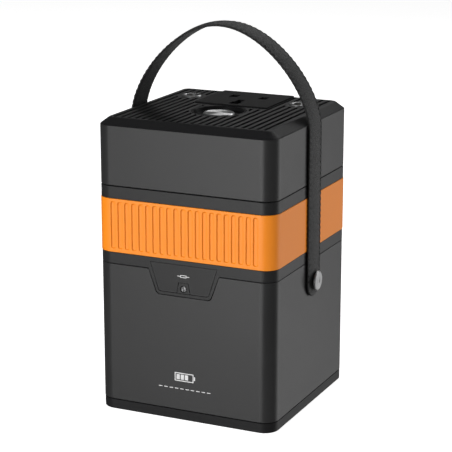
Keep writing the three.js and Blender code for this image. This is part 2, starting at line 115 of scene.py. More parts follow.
def new_material(name, levels):
    """A new material with its shader's own levels set. Gives the material, its node tree and the shader."""
    material = bpy.data.materials.new(name)
    material.use_nodes = True
    shader = material.node_tree.nodes["Principled BSDF"]
    for socket, value in levels.items():
        shader.inputs[socket].default_value = value
    return material, material.node_tree, shader


WHITE = (1.0, 1.0, 1.0, 1.0)
ROOM_SEEN = 1.0
ROOM_FELT = 0.06
world = bpy.data.worlds.new("room")
bpy.context.scene.world = world
world.use_nodes = True
room = world.node_tree
room.nodes.clear()
seen = add_node(room, "Background", values={"Color": WHITE, "Strength": ROOM_SEEN})
felt = add_node(room, "Background", values={"Color": WHITE, "Strength": ROOM_FELT})
path = add_node(room, "LightPath")
mixed = add_node(room, "MixShader")
out = add_node(room, "OutputWorld")
join(
    room,
    (path, "Is Camera Ray", mixed, "Fac"),
    (felt, 0, mixed, 1),
    (seen, 0, mixed, 2),
    (mixed, 0, out, "Surface"),
)
bpy.context.scene.view_settings.view_transform = "Standard"

FLOOR_HALF = 6.0
floor_mesh = bpy.data.meshes.new("floor")
floor_corners = [(x * FLOOR_HALF, y * FLOOR_HALF, 0) for x, y in ((-1, -1), (1, -1), (1, 1), (-1, 1))]
floor_mesh.from_pydata(floor_corners, [], [(0, 1, 2, 3)])
floor = add_to_scene("floor", floor_mesh)
floor_levels = {
    "Base Color": (0.9, 0.9, 0.9, 1.0),
    "Roughness": 0.9,
    "Specular IOR Level": 0.0,
    "Emission Color": WHITE,
    "Emission Strength": 0.85,
}
floor_mesh.materials.append(new_material("floor_paint", floor_levels)[0])
floor.visible_glossy = False
floor.visible_diffuse = False
floor.visible_shadow = False


# ---- Base cover ----
# A shallow black tray that closes the tower from below. Moulded in one piece, with its lower edge
# chamfered, four pockets for the feet and four counterbored screw holes.
MM = 0.001


def box_of(node):
    """A CAD node's lowest and highest corners, in millimetres."""
    low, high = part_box(node)
    return low / MM, high / MM


def middle_of(node):
    """The middle of a CAD node's box, in millimetres."""
    low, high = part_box(node)
    return (low + high) / (2 * MM)


base_low, base_high = box_of("base_cover")
lower_low, lower_high = box_of("lower_housing")
tower_half = lower_high.x
CORNER_RADIUS = 10.4
CORNER_STEPS = 12


def tower_outline():
    """The tower's outline seen from above, and the way out at each point.

    Each corner is a quarter circle; a point drawn in by d lies d back along the way out.
    """
    turn = np.linspace(0, math.pi / 2, CORNER_STEPS + 1)
    angle = np.concatenate([turn + k * math.pi / 2 for k in range(4)])
    centre = np.repeat(np.array([[1, 1], [-1, 1], [-1, -1], [1, -1]]), CORNER_STEPS + 1, axis=0)
    way_out = np.stack([np.cos(angle), np.sin(angle)], axis=1)
    return centre * (tower_half - CORNER_RADIUS) + CORNER_RADIUS * way_out, way_out


def piece_from(name, points, faces):
    """A new object from points in millimetres and faces, all turned to point outwards."""
    mesh = bpy.data.meshes.new(name)
    mesh.from_pydata(np.asarray(points, float) * MM, [], faces)
    mesh.update()
    work = bmesh.new()
    work.from_mesh(mesh)
    bmesh.ops.remove_doubles(work, verts=work.verts, dist=1e-7)
    bmesh.ops.recalc_face_normals(work, faces=work.faces)
    work.to_mesh(mesh)
    work.free()
    return add_to_scene(name, mesh)


def grid_faces(rows, columns, rows_close, columns_close):
    """The four-cornered faces of a grid of rows by columns, closed round either way if asked."""
    r = np.arange(rows if rows_close else rows - 1)[:, None]
    c = np.arange(columns if columns_close else columns - 1)[None, :]
    r2, c2 = (r + 1) % rows, (c + 1) % columns
    corners = [r * columns + c, r * columns + c2, r2 * columns + c2, r2 * columns + c]
    return np.stack([np.broadcast_to(k, (r.size, c.size)) for k in corners], axis=-1).reshape(-1, 4)


def carried_round(outline, way_out, inset, height):
    """The points of an outline drawn in by inset and lifted to height, one row for each height.

    A point lies at the outline's point less inset times the way out there.
    """
    plan = outline[None] - inset[:, :, None] * way_out[None]
    lift = np.broadcast_to(height[:, None, None], plan.shape[:2] + (1,))
    return np.concatenate([plan, lift], axis=2).reshape(-1, 3)


def round_tower(name, profile, closed=True):
    """A profile of (inset, height) points carried round the tower's outline.

    A closed profile makes a ring. An open one makes a solid, closed flat at its two ends.
    """
    outline, way_out = tower_outline()
    inset, height = np.asarray(profile, float).T
    rows, columns = len(height), len(outline)
    points = carried_round(outline, way_out, inset[:, None], height)
    faces = grid_faces(rows, columns, closed, True).tolist()
    if not closed:
        faces += [list(range(columns)), list(range((rows - 1) * columns, rows * columns))]
    return piece_from(name, points, faces)


def plate(name, outline, low, high, along="Z"):
    """A flat outline given a thickness from low to high along an axis.

    The outline's two numbers are X and Y for Z, and X and Z for Y.
    """
    outline = np.asarray(outline, float)
    count = len(outline)
    levels = np.repeat([low, high], count)
    both = np.tile(outline, (2, 1))
    order = (both[:, 0], both[:, 1], levels) if along == "Z" else (both[:, 0], levels, both[:, 1])
    faces = grid_faces(2, count, False, True).tolist()
    faces += [list(range(count)), list(range(count, 2 * count))]
    return piece_from(name, np.stack(order, axis=1), faces)


def disc(centre, radius, steps=48):
    """A circle's outline round a centre, seen from above."""
    angle = np.arange(steps) * 2 * math.pi / steps
    return np.stack([centre.x + radius * np.cos(angle), centre.y + radius * np.sin(angle)], axis=1)


def settle(piece):
    """Works a piece's modifiers into its mesh."""
    evaluated = piece.evaluated_get(bpy.context.evaluated_depsgraph_get())
    mesh = bpy.data.meshes.new_from_object(evaluated)
    piece.modifiers.clear()
    piece.data = mesh


def combine(piece, tool, operation="DIFFERENCE"):
    """Cuts piece with a closed tool, or joins the two, and throws the tool away."""
    step = piece.modifiers.new(operation, "BOOLEAN")
    step.operation = operation
    step.object = tool
    step.solver = "EXACT"
    settle(piece)
    bpy.data.objects.remove(tool)


def soften(piece, width, segments=2, angle=35):
    """Rounds every edge sharper than angle by width, and evens the shading of the flats beside it."""
    if width:
        edges = piece.modifiers.new("edges", "BEVEL")
        edges.width = width * MM
        edges.segments = segments
        edges.limit_method = "ANGLE"
        edges.angle_limit = math.radians(angle)
        edges.use_clamp_overlap = True
    settle(piece)
    piece.data.shade_smooth()
    piece.data.set_sharp_from_angle(angle=math.radians(angle + 15))
    even = piece.modifiers.new("even", "WEIGHTED_NORMAL")
    even.keep_sharp = True
    even.weight = 80
    settle(piece)


def place_piece(piece, material, body, slot, *nodes):
    """Gives a finished piece its material and body, and hides the CAD nodes that it stands for. The slot is
    not used.
    """
    piece.data.materials.clear()
    piece.data.materials.append(material)
    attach(piece, body)
    if nodes:
        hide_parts(*nodes)


def moulded_grain_group():
    """Spark-eroded mould texture: a fine pebble for the bump, and slow blotches for sheen and tone.

    The roughness is the given one plus the spread times how far the blotch is from its middle.
    """
    group = bpy.data.node_groups.new("moulded_grain", "ShaderNodeTree")
    for label, default in (("Grain size", 2500.0), ("Roughness", 0.4), ("Spread", 0.05)):
        socket = group.interface.new_socket(label, in_out="INPUT", socket_type="NodeSocketFloat")
        socket.default_value = default
    for label in ("Height", "Roughness", "Tone"):
        group.interface.new_socket(label, in_out="OUTPUT", socket_type="NodeSocketFloat")
    inputs = group.nodes.new("NodeGroupInput")
    outputs = group.nodes.new("NodeGroupOutput")
    where = add_node(group, "TexCoord")
    fine = add_node(group, "TexNoise", values={"Detail": 3.0})
    slow = add_node(group, "TexNoise", values={"Scale": 22.0, "Detail": 4.0})
    centred = add_node(group, "Math", {"operation": "SUBTRACT"}, {1: 0.5})
    spread = add_node(group, "Math", {"operation": "MULTIPLY_ADD"})
    join(
        group,
        (where, "Object", fine, "Vector"),
        (where, "Object", slow, "Vector"),
        (inputs, "Grain size", fine, "Scale"),
        (slow, "Fac", centred, 0),
        (centred, 0, spread, 0),
        (inputs, "Spread", spread, 1),
        (inputs, "Roughness", spread, 2),
        (fine, "Fac", outputs, "Height"),
        (spread, 0, outputs, "Roughness"),
        (slow, "Fac", outputs, "Tone"),
    )
    return group


moulded_grain = moulded_grain_group()


def two_tones(tree, dark, light):
    """A colour mixed from a dark and a light tone by its factor."""
    return add_node(tree, "Mix", {"data_type": "RGBA"}, {"A": (*dark, 1.0), "B": (*light, 1.0)})


def dress(tree, shader, tone, gloss, height, depth, strength):
    """Joins a colour, a roughness and a relief to the shader, each given as a node and its output.

    The relief goes through a bump that is depth millimetres high.
    """
    bump = add_node(tree, "Bump", values={"Distance": depth * MM, "Strength": strength})
    join(
        tree,
        (*tone, shader, "Base Color"),
        (*gloss, shader, "Roughness"),
        (*height, bump, "Height"),
        (bump, "Normal", shader, "Normal"),
    )


def moulded_plastic(name, dark, light, roughness, spread, grain, depth, sheen=0.5):
    """A moulded plastic or elastomer: slightly uneven tone and sheen over a fine pebbled surface.

    The sheen is the shader's specular level, 0.5 for plain plastic.
    """
    material, tree, shader = new_material(name, {"Specular IOR Level": sheen})
    levels = {"Grain size": grain, "Roughness": roughness, "Spread": spread}
    surface = add_node(tree, "Group", {"node_tree": moulded_grain}, levels)
    tone = two_tones(tree, dark, light)
    join(tree, (surface, "Tone", tone, "Factor"))
    dress(tree, shader, (tone, "Result"), (surface, "Roughness"), (surface, "Height"), depth, 0.6)
    return material


black_plastic = moulded_plastic(
    "black_plastic", (0.008, 0.008, 0.0085), (0.012, 0.012, 0.0125), 0.45, 0.10, 2600.0, 0.03, 0.28
)

BASE_INSET = tower_half - base_high.x
BASE_CHAMFER = 0.35
BASE_RIM = 4.0
FOOT_GAP = 0.3
COUNTERBORE = {"radius": 3.4, "depth": 1.5}
base_profile = [
    (BASE_INSET + BASE_RIM, base_low.z),
    (BASE_INSET + BASE_CHAMFER, base_low.z),
    (BASE_INSET, base_low.z + BASE_CHAMFER),
    (BASE_INSET, base_high.z),
    (BASE_INSET + BASE_RIM, base_high.z),
]
base = round_tower("base_tray", base_profile, closed=False)
feet = [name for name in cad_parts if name.startswith("foot_")]
base_screws = [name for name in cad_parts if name.startswith("base_screw_")]
for name in feet:
    low, high = box_of(name)
    pocket = disc(middle_of(name), (high.x - low.x) / 2 + FOOT_GAP)
    combine(base, plate("pocket", pocket, -1, high.z))
for name in base_screws:
    bore = disc(middle_of(name), COUNTERBORE["radius"], 32)
    combine(base, plate("counterbore", bore, -1, base_low.z + COUNTERBORE["depth"]))
soften(base, 0.15)
place_piece(base, black_plastic, "housing", "black_plastic", "base_cover")


# ---- Rubber feet ----
# Four moulded rubber discs pressed into the pockets of the base cover. Each has a rounded edge and a
# shallow hollow underneath, so that it grips on its rim.
def soft_corners(points, radius, steps=3, closed=True):
    """The line through points, with each corner turned into a curve of about radius.

    The curve is a quadratic one from radius before the corner to radius past it, or half the way to
    the neighbouring corner where that is nearer. An open line keeps its two ends.
    """
    points = np.asarray(points, float)
    middle = points if closed else points[1:-1]
    before = (np.roll(points, 1, axis=0) if closed else points[:-2]) - middle
    after = (np.roll(points, -1, axis=0) if closed else points[2:]) - middle
    radius = np.broadcast_to(radius, len(middle))
    long_before = np.linalg.norm(before, axis=1)
    long_after = np.linalg.norm(after, axis=1)
    back = np.minimum(radius, long_before * 0.49)[:, None] * before / long_before[:, None]
    on = np.minimum(radius, long_after * 0.49)[:, None] * after / long_after[:, None]
    t = np.linspace(0, 1, steps + 1)[None, :, None]
    curve = middle[:, None] + back[:, None] * (1 - t) ** 2 + on[:, None] * t**2
    curve = curve.reshape(-1, points.shape[1])
    return curve if closed else np.concatenate([points[:1], curve, points[-1:]])


def turned(name, profile, centre, axis="Z", steps=64, closed=False):
    """A profile of (radius, height) points turned about an axis through centre.

    Height runs along the axis. An open profile starts and ends on the axis; a closed one makes a ring.
    """
    radius, height = np.asarray(profile, float).T
    angle = np.arange(steps) * 2 * math.pi / steps
    across = radius[:, None] * np.cos(angle)
    along = radius[:, None] * np.sin(angle)
    lift = np.broadcast_to(height[:, None], across.shape)
    order = {"Z": (across, along, lift), "X": (lift, across, along), "Y": (along, lift, across)}[axis]
    points = np.stack(order, axis=-1) + np.asarray(centre, float)
    return piece_from(name, points.reshape(-1, 3), grid_faces(len(radius), steps, closed, True).tolist())


FOOT_HOLLOW = {"depth": 0.5, "wall": 1.8, "slope": 0.4}
foot_rubber = moulded_plastic(
    "foot_rubber", (0.006, 0.006, 0.006), (0.016, 0.016, 0.015), 0.75, 0.2, 1500.0, 0.05
)
for name in feet:
    low, high = box_of(name)
    radius = (high.x - low.x) / 2
    centre = middle_of(name)
    hollow = radius - FOOT_HOLLOW["wall"]
    profile = [
        (0, FOOT_HOLLOW["depth"]),
        (hollow - FOOT_HOLLOW["slope"], FOOT_HOLLOW["depth"]),
        (hollow, 0),
        (radius, 0),
        (radius, high.z),
        (0, high.z),
    ]
    profile = soft_corners(profile, 0.4, closed=False)
    foot = turned("rubber_" + name, profile, (centre.x, centre.y, 0), steps=48)
    soften(foot, 0)
    place_piece(foot, foot_rubber, "housing", "foot_rubber", name)


# ---- Base screws ----
# Four small pan-head steel screws that hold the base cover to posts in the lower housing. The heads are
# cold-formed, with a cross recess, and sit in the counterbores.
def stepped(start, *steps):
    """The profile of a stepped round bar. Each step is a radius and the height up to which it holds."""
    profile = [(0, start)]
    for radius, end in steps:
        profile += [(radius, start), (radius, end)]
        start = end
    return profile + [(0, start)]


def rectangle(x0, x1, y0, y1, radius=0.0, steps=3):
    """A rectangle's outline with rounded corners."""
    corners = [(x0, y0), (x1, y0), (x1, y1), (x0, y1)]
    return soft_corners(corners, radius, steps) if radius else np.array(corners, float)


def spun_metal(name, dark, light, roughness, centre, axis, rings=5200.0):
    """Turned metal: fine tool rings round an axis, and a highlight stretched across the rings.

    The rings are a sine of the distance from the axis. The tangent runs round the axis, as the cross
    product of the axis and the way from it, and the stretch is turned a quarter from the tangent.
    """
    levels = {"Metallic": 1.0, "Anisotropic": 0.85, "Anisotropic Rotation": 0.25}
    material, tree, shader = new_material(name, levels)
    where = add_node(tree, "TexCoord")
    from_centre = add_node(tree, "VectorMath", {"operation": "SUBTRACT"}, {1: [c * MM for c in centre]})
    round_axis = add_node(tree, "VectorMath", {"operation": "CROSS_PRODUCT"}, {0: axis})
    turn_to_world = {"vector_type": "VECTOR", "convert_from": "OBJECT", "convert_to": "WORLD"}
    to_world = add_node(tree, "VectorTransform", turn_to_world)
    distance = add_node(tree, "VectorMath", {"operation": "LENGTH"})
    wave = add_node(tree, "Math", {"operation": "MULTIPLY"}, {1: rings * 2 * math.pi})
    sine = add_node(tree, "Math", {"operation": "SINE"})
    scratches = add_node(tree, "TexNoise", values={"Scale": 900.0, "Detail": 3.0})
    tone = two_tones(tree, dark, light)
    gloss = add_node(tree, "Math", {"operation": "MULTIPLY_ADD"}, {1: 0.12, 2: roughness})
    join(
        tree,
        (where, "Object", from_centre, 0),
        (from_centre, 0, round_axis, 1),
        (round_axis, 0, distance, 0),
        (distance, "Value", wave, 0),
        (wave, 0, sine, 0),
        (where, "Object", scratches, "Vector"),
        (scratches, "Fac", tone, "Factor"),
        (scratches, "Fac", gloss, 0),
        (round_axis, 0, to_world, 0),
        (to_world, 0, shader, "Tangent"),
    )
    dress(tree, shader, (tone, "Result"), (gloss, 0), (sine, 0), 0.004, 0.5)
    return material


PAN_HEIGHT = 1.3
SHANK_RADIUS = 1.4
CROSS = {"length": 3.2, "width": 0.7, "depth": 0.8}
for name in base_screws:
    low, high = box_of(name)
    centre = middle_of(name)
    radius = (high.x - low.x) / 2
    pan = stepped(low.z, (radius, low.z + PAN_HEIGHT), (SHANK_RADIUS, high.z))
    screw = turned("steel_" + name, soft_corners(pan, 0.3, closed=False), (centre.x, centre.y, 0), steps=40)
    half, thin = CROSS["length"] / 2, CROSS["width"] / 2
    for reach_x, reach_y in ((half, thin), (thin, half)):
        sides = rectangle(centre.x - reach_x, centre.x + reach_x, centre.y - reach_y, centre.y + reach_y)
        combine(screw, plate("recess", sides, low.z - 1, low.z + CROSS["depth"]))
    soften(screw, 0)
    steel = spun_metal(name + "_steel", (0.38, 0.38, 0.39), (0.6, 0.6, 0.6), 0.28, centre, (0, 0, 1))
    place_piece(screw, steel, "housing", "spun_steel", name)


# ---- Inside: battery pack, boards, inverter and leads ----
# Round cells stand between two black holders, with the protection board above them. The inverter board
# carries a wound transformer, a finned heat sink and two capacitors, and sheathed leads join them all.
def patterned(name, dark, light, roughness, metallic, stretch, waves=False, depth=0.05):
    """A material whose tone and relief follow one pattern, drawn out by stretch along X, Y and Z.

    The pattern is a noise, or evenly spaced bands along Z where waves is true.
    """
    material, tree, shader = new_material(name, {"Metallic": metallic})
    where = add_node(tree, "TexCoord")
    drawn = add_node(tree, "Mapping", values={"Scale": stretch})
    if waves:
        levels = {"Scale": 1.0, "Detail": 3.0, "Distortion": 0.6}
        pattern = add_node(tree, "TexWave", {"bands_direction": "Z"}, levels)
    else:
        pattern = add_node(tree, "TexNoise", values={"Scale": 1.0, "Detail": 3.0})
    tone = two_tones(tree, dark, light)
    gloss = add_node(tree, "Math", {"operation": "MULTIPLY_ADD"}, {1: 0.15, 2: roughness})
    join(
        tree,
        (where, "Object", drawn, "Vector"),
        (drawn, "Vector", pattern, "Vector"),
        (pattern, "Fac", tone, "Factor"),
        (pattern, "Fac", gloss, 0),
    )
    dress(tree, shader, (tone, "Result"), (gloss, 0), (pattern, "Fac"), depth, 0.5)
    return material


INSIDE_FINISHES = (
    # part of the node's name, finish, dark tone, light tone, roughness, metallic, stretch, bands
    ("cell_", "cell_can", (0.02, 0.09, 0.22), (0.03, 0.14, 0.32), 0.35, 0.0, (90, 90, 500)),
    ("_board", "circuit_board", (0.006, 0.05, 0.02), (0.02, 0.16, 0.06), 0.4, 0.0, (260, 260, 260)),
    ("transformer", "winding", (0.25, 0.1, 0.02), (0.62, 0.36, 0.1), 0.35, 0.3, (1, 1, 180), True),
    ("heat_sink", "alloy", (0.45, 0.46, 0.48), (0.66, 0.67, 0.69), 0.35, 1.0, (900, 30, 900)),
    ("capacitor_", "capacitor_can", (0.008, 0.008, 0.012), (0.03, 0.03, 0.045), 0.3, 0.0, (60, 60, 400)),
    ("_lead", "wire_sheath", (0.3, 0.012, 0.01), (0.42, 0.025, 0.02), 0.35, 0.0, (300, 300, 300)),
    ("contact_", "brass", (0.55, 0.36, 0.12), (0.75, 0.55, 0.24), 0.25, 1.0, (700, 700, 60)),
    ("_pin", "pin_brass", (0.55, 0.36, 0.12), (0.75, 0.55, 0.24), 0.25, 1.0, (700, 700, 60)),
    ("strap_insert", "insert_brass", (0.5, 0.33, 0.1), (0.7, 0.5, 0.2), 0.3, 1.0, (60, 700, 700)),
)
inside_finishes = {key: patterned(*finish) for key, *finish in INSIDE_FINISHES}
plain_black = ("cell_holder_lower", "cell_holder_upper", "board_tray", "power_switch", "fuse_holder")
for name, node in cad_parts.items():
    finish = next((paint for key, paint in inside_finishes.items() if key in name), None)
    if name in plain_black:
        finish = black_plastic
    if finish:
        node.data.materials.clear()
        node.data.materials.append(finish)


# ---- Lower housing ----
# A deep square shell in graphite plastic, moulded in one piece with a fine spark-eroded texture. Bosses
# inside take the base screws and the strap's inserts, and its front rim is notched for the fuse tongue.
graphite_shell = moulded_plastic(
    "graphite_shell", (0.016, 0.016, 0.0162), (0.022, 0.022, 0.0222), 0.36, 0.12, 1900.0, 0.05, 0.62
)
WALL = 2.5
SHELL_EDGE = 0.45
SEAM = 0.5
FOOT_RIM = {"thick": 1.0, "tall": 2.8}
BOSS = {"radius": 6.5, "from": 53.0, "to": 64.0}
INSERT = {"radius": 4.1, "to": 62.6}
SHOULDER_HOLE = 3.3
THROUGH_WALL = (50.0, 67.0)
POST = {"half": 3.0, "to_wall": 6.3, "corner": 1.5, "from": 0.4, "top": 16.5, "hole": 1.7}
# The tongue tapers from its half width at the seam to the one at its foot. The notch and the tongue run
# on above the seam at about that slope.
TONGUE = {"half_top": 25.9, "bottom": 87.6, "half_bottom": 19.5}
NOTCH_ON = {"rise": 4.0, "spread": 1.2}
BEFORE_FRONT = -70.0
NOTCH_BACK = -49.0
strap_low, strap_high = box_of("carry_strap")
STRAP_HALF = strap_high.y
strap_axis = (0, 0, strap_low.z + STRAP_HALF)
FRAME_FOOT = lower_high.z + SEAM / 2


def wedge(top, half_top, bottom, half_bottom, radius=2.6):
    """A tapering tongue's outline in X and Z, wider at its top, with its two lower corners rounded."""
    corners = [(-half_top, top), (-half_bottom, bottom), (half_bottom, bottom), (half_top, top)]
    return soft_corners(corners, [0.01, radius, radius, 0.01], 5)


lower_profile = soft_corners(
    [
        (0, lower_low.z),
        (0, lower_high.z),
        (WALL, lower_high.z),
        (WALL, lower_low.z + FOOT_RIM["tall"]),
        (WALL + FOOT_RIM["thick"], lower_low.z + FOOT_RIM["tall"]),
        (WALL + FOOT_RIM["thick"], lower_low.z),
    ],
    [SHELL_EDGE, SHELL_EDGE, 0.2, 0.1, 0.1, 0.1],
)
lower_shell = round_tower("lower_shell", lower_profile)
for side in (-1, 1):
    boss = stepped(side * BOSS["from"], (BOSS["radius"], side * BOSS["to"]))
    combine(lower_shell, turned("boss", boss, strap_axis, "X", 48), "UNION")
    inner, outer = (side * reach for reach in THROUGH_WALL)
    bore = stepped(inner, (INSERT["radius"], side * INSERT["to"]), (SHOULDER_HOLE, outer))
    combine(lower_shell, turned("bore", bore, strap_axis, "X", 48))
for name in base_screws:
    centre = middle_of(name)
    inwards = 1 if centre.y < 0 else -1
    wall_side, open_side = centre.y - inwards * POST["to_wall"], centre.y + inwards * POST["half"]
    sides = (centre.x - POST["half"], centre.x + POST["half"], wall_side, open_side)
    post = plate("post", rectangle(*sides, POST["corner"]), lower_low.z + POST["from"], POST["top"])
    combine(lower_shell, post, "UNION")
    combine(lower_shell, plate("post_hole", disc(centre, POST["hole"], 24), 0, POST["top"] + 1))
notch = wedge(
    FRAME_FOOT + NOTCH_ON["rise"],
    TONGUE["half_top"] + SEAM + NOTCH_ON["spread"],
    TONGUE["bottom"] - SEAM,
    TONGUE["half_bottom"] + SEAM,
)
combine(lower_shell, plate("notch", notch, BEFORE_FRONT, NOTCH_BACK, along="Y"))
soften(lower_shell, 0.3)
place_piece(lower_shell, graphite_shell, "housing", "graphite_shell", "lower_housing")


# ---- Middle frame ----
# A graphite ring that joins the two shells: a plain strip below and above the seat of the grip band,
# lips that fit inside the shells, and a tongue on its front that holds the fuse bay.
graphite_frame = moulded_plastic(
    "graphite_frame", (0.013, 0.013, 0.0132), (0.018, 0.018, 0.0182), 0.38, 0.12, 1900.0, 0.05, 0.46
)
BAND_FOOT, BAND_HEAD = 112.3, 149.5
FRAME_HEAD = 157.8
LIP_HEAD = box_of("middle_frame")[1].z
LIP_FOOT = FRAME_FOOT - 4
LIP_OUT, LIP_IN = 2.8, 4.5
SEAT_INSET = 2.0
TONGUE_ON = {"rise": 6.0, "spread": 2.2}
TONGUE_BACK = -50.0
DOOR_GAP = 0.3
DOOR_HALF_FOOT = 18.2
DOOR_CORNER = 2.0
BAY = {"half": 19.0, "foot": 95.5, "head": 107.0, "back": -51.5}
SCREW_HOLE = {"radius": 1.8, "back": -55.0}
door_low, door_high = box_of("fuse_door")
door_screw_axis = (0, 0, middle_of("fuse_door_screw").z)
middle_profile = soft_corners(
    [
        (0, FRAME_FOOT),
        (0, BAND_FOOT),
        (SEAT_INSET, BAND_FOOT),
        (SEAT_INSET, BAND_HEAD),
        (0, BAND_HEAD),
        (0, FRAME_HEAD),
        (LIP_OUT, FRAME_HEAD),
        (LIP_OUT, LIP_HEAD),
        (LIP_IN, LIP_HEAD),
        (LIP_IN, LIP_FOOT),
        (LIP_OUT, LIP_FOOT),
        (LIP_OUT, FRAME_FOOT),
    ],
    [SHELL_EDGE, 0.3, 0.1, 0.1, 0.3, SHELL_EDGE] + [0.1] * 6,
)
middle = round_tower("middle_ring", middle_profile)
tongue = wedge(
    FRAME_FOOT + TONGUE_ON["rise"],
    TONGUE["half_top"] + TONGUE_ON["spread"],
    TONGUE["bottom"],
    TONGUE["half_bottom"],
)
combine(middle, plate("tongue", tongue, -tower_half, TONGUE_BACK, along="Y"), "UNION")
door_seat = wedge(
    door_high.z + DOOR_GAP,
    door_high.x + DOOR_GAP,
    door_low.z - DOOR_GAP,
    DOOR_HALF_FOOT + DOOR_GAP,
    DOOR_CORNER,
)
combine(middle, plate("door_seat", door_seat, BEFORE_FRONT, door_high.y + DOOR_GAP, along="Y"))
bay = rectangle(-BAY["half"], BAY["half"], BAY["foot"], BAY["head"], 1.0)
combine(middle, plate("bay", bay, BEFORE_FRONT, BAY["back"], along="Y"))
screw_hole = stepped(BEFORE_FRONT, (SCREW_HOLE["radius"], SCREW_HOLE["back"]))
combine(middle, turned("screw_hole", screw_hole, door_screw_axis, "Y", 32))
soften(middle, 0.3)
place_piece(middle, graphite_frame, "housing", "graphite_shell", "middle_frame")


# ---- Grip band ----
# A soft orange elastomer sleeve stretched over the frame's seat. It stands a little proud, and its front
# has a row of upright round-ended grooves with softly rounded lips.
grip_orange = moulded_plastic(
    "grip_orange", (0.76, 0.215, 0.008), (0.81, 0.235, 0.011), 0.46, 0.1, 2600.0, 0.025, 0.62
)
band_low, band_high = box_of("grip_band")
BAND_PROUD = band_high.x - tower_half
BAND_THICK = 2.0
BAND_EDGE = np.array([0.0, 0.03, 0.12, 0.26, 0.45])
GROOVES = 21
GROOVE_PITCH = 5.21
GROOVE_WIDTH = 3.4
GROOVE_DEPTH = 0.8
GROOVE_FOOT, GROOVE_HEAD = 114.8, 147.5
# The groove's lip starts this far outside its edge and is this wide.
LIP_START, LIP_WIDE = 0.12, 0.6


def band_columns():
    """The places across the front where the band's surface is worked out, close together at each lip."""
    lip = GROOVE_WIDTH / 2
    steps = np.array([0.0, 0.8, lip - 0.5, lip - 0.35, lip - 0.22, lip - 0.1, lip, lip + 0.1, lip + 0.22])
    steps = np.concatenate([-steps[:0:-1], steps, [GROOVE_PITCH / 2]])
    centres = (np.arange(GROOVES) - (GROOVES - 1) / 2) * GROOVE_PITCH
    places = (centres[:, None] + steps[None]).ravel()
    flat = tower_half - CORNER_RADIUS
    places = places[np.abs(places) < flat - 0.2]
    return np.sort(places)


def groove_depth(x, z):
    """How deep the band's front is pressed in at x and z.

    The distance from the nearest groove's spine is turned into a smooth step at the groove's edge.
    """
    middle = (GROOVE_FOOT + GROOVE_HEAD) / 2
    half_spine = (GROOVE_HEAD - GROOVE_FOOT - GROOVE_WIDTH) / 2
    number = np.clip(np.round(x / GROOVE_PITCH), -(GROOVES - 1) / 2, (GROOVES - 1) / 2)
    across = x - number * GROOVE_PITCH
    beyond = np.maximum(np.abs(z - middle) - half_spine, 0)
    inside = GROOVE_WIDTH / 2 - np.hypot(across, beyond)
    t = np.clip((inside + LIP_START) / LIP_WIDE, 0, 1)
    return GROOVE_DEPTH * t * t * (3 - 2 * t)


def band_mesh():
    """The band's ring: the tower's outline with a close row of points on the front, at many heights.

    At each point the outer face stands proud by a set amount, less the rounding of the band's two edges
    and the depth of the grooves. Two last rows at a set depth make the inner face.
    """
    outline, way_out = tower_outline()
    front = band_columns()
    front_starts = 3 * (CORNER_STEPS + 1)
    front_outline = np.stack([front, np.full_like(front, -tower_half)], axis=1)
    front_way = np.tile([0.0, -1.0], (len(front), 1))
    outline = np.concatenate([outline[:front_starts], front_outline, outline[front_starts:]])
    way_out = np.concatenate([way_out[:front_starts], front_way, way_out[front_starts:]])

    cap = GROOVE_WIDTH / 2
    groove_end = np.concatenate([[-0.25, -0.12], np.linspace(0, cap, 11), [cap + 1]])
    straight = np.linspace(GROOVE_FOOT + 6, GROOVE_HEAD - 6, 5)
    grooves = np.concatenate([GROOVE_FOOT + groove_end, straight, GROOVE_HEAD - groove_end[::-1]])
    heights = np.concatenate([band_low.z + BAND_EDGE, grooves, band_high.z - BAND_EDGE[::-1]])
    drawn_in = np.concatenate([BAND_EDGE[::-1], np.zeros(len(grooves)), BAND_EDGE])
    on_front = (way_out[:, 1] < -0.999) & (np.abs(outline[:, 0]) < tower_half - CORNER_RADIUS)
    pressed = np.where(on_front[None], groove_depth(outline[None, :, 0], heights[:, None]), 0.0)
    outer = -BAND_PROUD + drawn_in[:, None] + pressed
    inner = np.full((2, len(outline)), BAND_THICK - BAND_PROUD)
    heights = np.concatenate([heights, [band_high.z, band_low.z]])
    points = carried_round(outline, way_out, np.concatenate([outer, inner]), heights)
    return piece_from("orange_band", points, grid_faces(len(heights), len(outline), True, True).tolist())


band = band_mesh()
soften(band, 0, angle=45)
place_piece(band, grip_orange, "housing", "grip_orange", "grip_band")


# ---- Upper housing ----
# The upper graphite shell, moulded like the lower one, with a ledge inside that carries the lid.
LEDGE = {"inset": 4.5, "top": 192.6, "foot": 189.6}
upper_low, upper_high = box_of("upper_housing")
upper_profile = soft_corners(
    [
        (0, upper_low.z),
        (0, upper_high.z),
        (WALL, upper_high.z),
        (WALL, LEDGE["top"]),
        (LEDGE["inset"], LEDGE["top"]),
        (LEDGE["inset"], LEDGE["foot"]),
        (WALL, LEDGE["foot"]),
        (WALL, upper_low.z),
    ],
    [SHELL_EDGE, 0.2] + [0.1] * 5 + [0.2],
)
upper = round_tower("upper_shell", upper_profile)
soften(upper, 0)
place_piece(upper, graphite_shell, "housing", "graphite_shell", "upper_housing")


